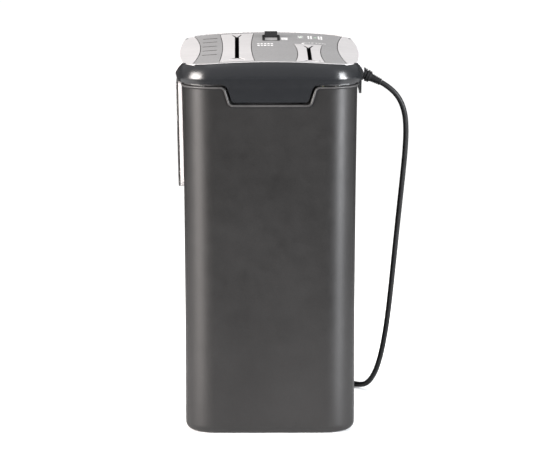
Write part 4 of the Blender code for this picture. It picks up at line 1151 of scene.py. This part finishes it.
def softbox(name, azimuth, distance, height, size, radiance, colour, spread):
    """A rectangular light; azimuth in degrees from the camera's side towards -X."""
    data = bpy.data.lights.new(name, "AREA")
    data.shape = "RECTANGLE"
    data.size, data.size_y = size
    data.energy = radiance * pi * size[0] * size[1]
    data.color = colour
    data.spread = radians(spread)
    lamp = linked(name, data)
    turn = radians(azimuth)
    lamp.location = (-distance * sin(turn), -distance * cos(turn), height)
    lamp.rotation_euler = (Vector(AIM) - lamp.location).to_track_quat("-Z", "Y").to_euler()
    lamp.visible_camera = False


def add_flag(name, corners):
    """A black panel that only reflections see, which gives the gloss its dark parts."""
    mesh = bpy.data.meshes.new(name)
    mesh.from_pydata(corners, [], [(0, 1, 2, 3)])
    mesh.materials.append(bpy.data.materials["flag_cloth"])
    flag = linked(name, mesh)
    flag.visible_camera = flag.visible_diffuse = flag.visible_shadow = False


def add_flags():
    """One upright panel behind the object at each side, and one on the floor in front."""
    plain_material("flag_cloth", (0.02, 0.02, 0.02), 0.9)
    far, near, high = 0.85, -0.62, 0.7
    for side, name in ((-1, "left_flag"), (1, "right_flag")):
        inner, outer = side * 0.14, side * 3.0
        add_flag(name, [(inner, far, 0.0), (outer, far, 0.0), (outer, far, high), (inner, far, high)])
    corners = ((-3.0, near), (3.0, near), (3.0, -6.0), (-3.0, -6.0))
    add_flag("front_flag", [(x, y, 0.002) for x, y in corners])


def add_world():
    """A dome that is dark at the horizon and bright overhead."""
    world = bpy.data.worlds.new("studio")
    world.use_nodes = True
    tree = world.node_tree
    direction = add_node(tree, "TexCoord").outputs["Generated"]
    split = add_node(tree, "SeparateXYZ", Vector=direction)
    dome = add_node(tree, "MapRange", Value=split.outputs["Z"], From_Min=0.1, From_Max=0.7,
                    To_Min=0.15, To_Max=1.0)
    background = tree.nodes["Background"]
    feed(tree, background.inputs["Strength"], dome.outputs["Result"])
    feed(tree, background.inputs["Color"], (1.0, 1.0, 1.0, 1.0))
    bpy.context.scene.world = world


def add_light():
    add_world()
    add_flags()
    sun = bpy.data.lights.new("overhead", "SUN")
    sun.energy = 1.0
    sun.angle = radians(50.0)
    linked("overhead", sun).rotation_euler = (radians(8.0), radians(-6.0), 0.0)
    warm, cool = (1.0, 0.95, 0.92), (0.95, 0.97, 1.0)
    softbox("left_box", 62.0, 2.2, 0.7, (1.6, 1.1), 6.0, warm, 60.0)
    softbox("right_strip", -56.0, 2.2, 0.7, (0.7, 1.1), 6.0, cool, 60.0)
    softbox("right_patch", -59.0, 2.15, 0.42, (0.5, 0.3), 7.0, cool, 50.0)
    bpy.context.scene.view_settings.view_transform = "Standard"


def carried_over(frame, look):
    """CAD nodes that stay as they are get their finish and slightly rounded edges."""
    for node in frame["nodes"].values():
        if node.hide_render:
            continue
        finish = look[plain_name(node.data.materials[0])]
        node.data.materials.clear()
        node.data.materials.append(finish)
        soften(node, 0.25)


def main():
    for thing in list(bpy.data.objects):
        bpy.data.objects.remove(thing)
    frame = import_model()
    add_camera()
    look = all_finishes()
    blades = [frame["nodes"][f"plug_blade_{side}"] for side in (1, 2)]
    mains_lead(look, [plug_shell(look), coil_tie(look), strain_relief(look), *blades])
    for build in (basket_shell, rim_bead, window, housing, deck, deck_lip, cheeks):
        build(look)
    throat(PAPER, "paper", look)
    throat(DISC, "disc", look)
    for build in (switch, lamps, printed_marks, thumb_ribs):
        build(look)
    carried_over(frame, look)
    add_floor()
    add_light()


main()
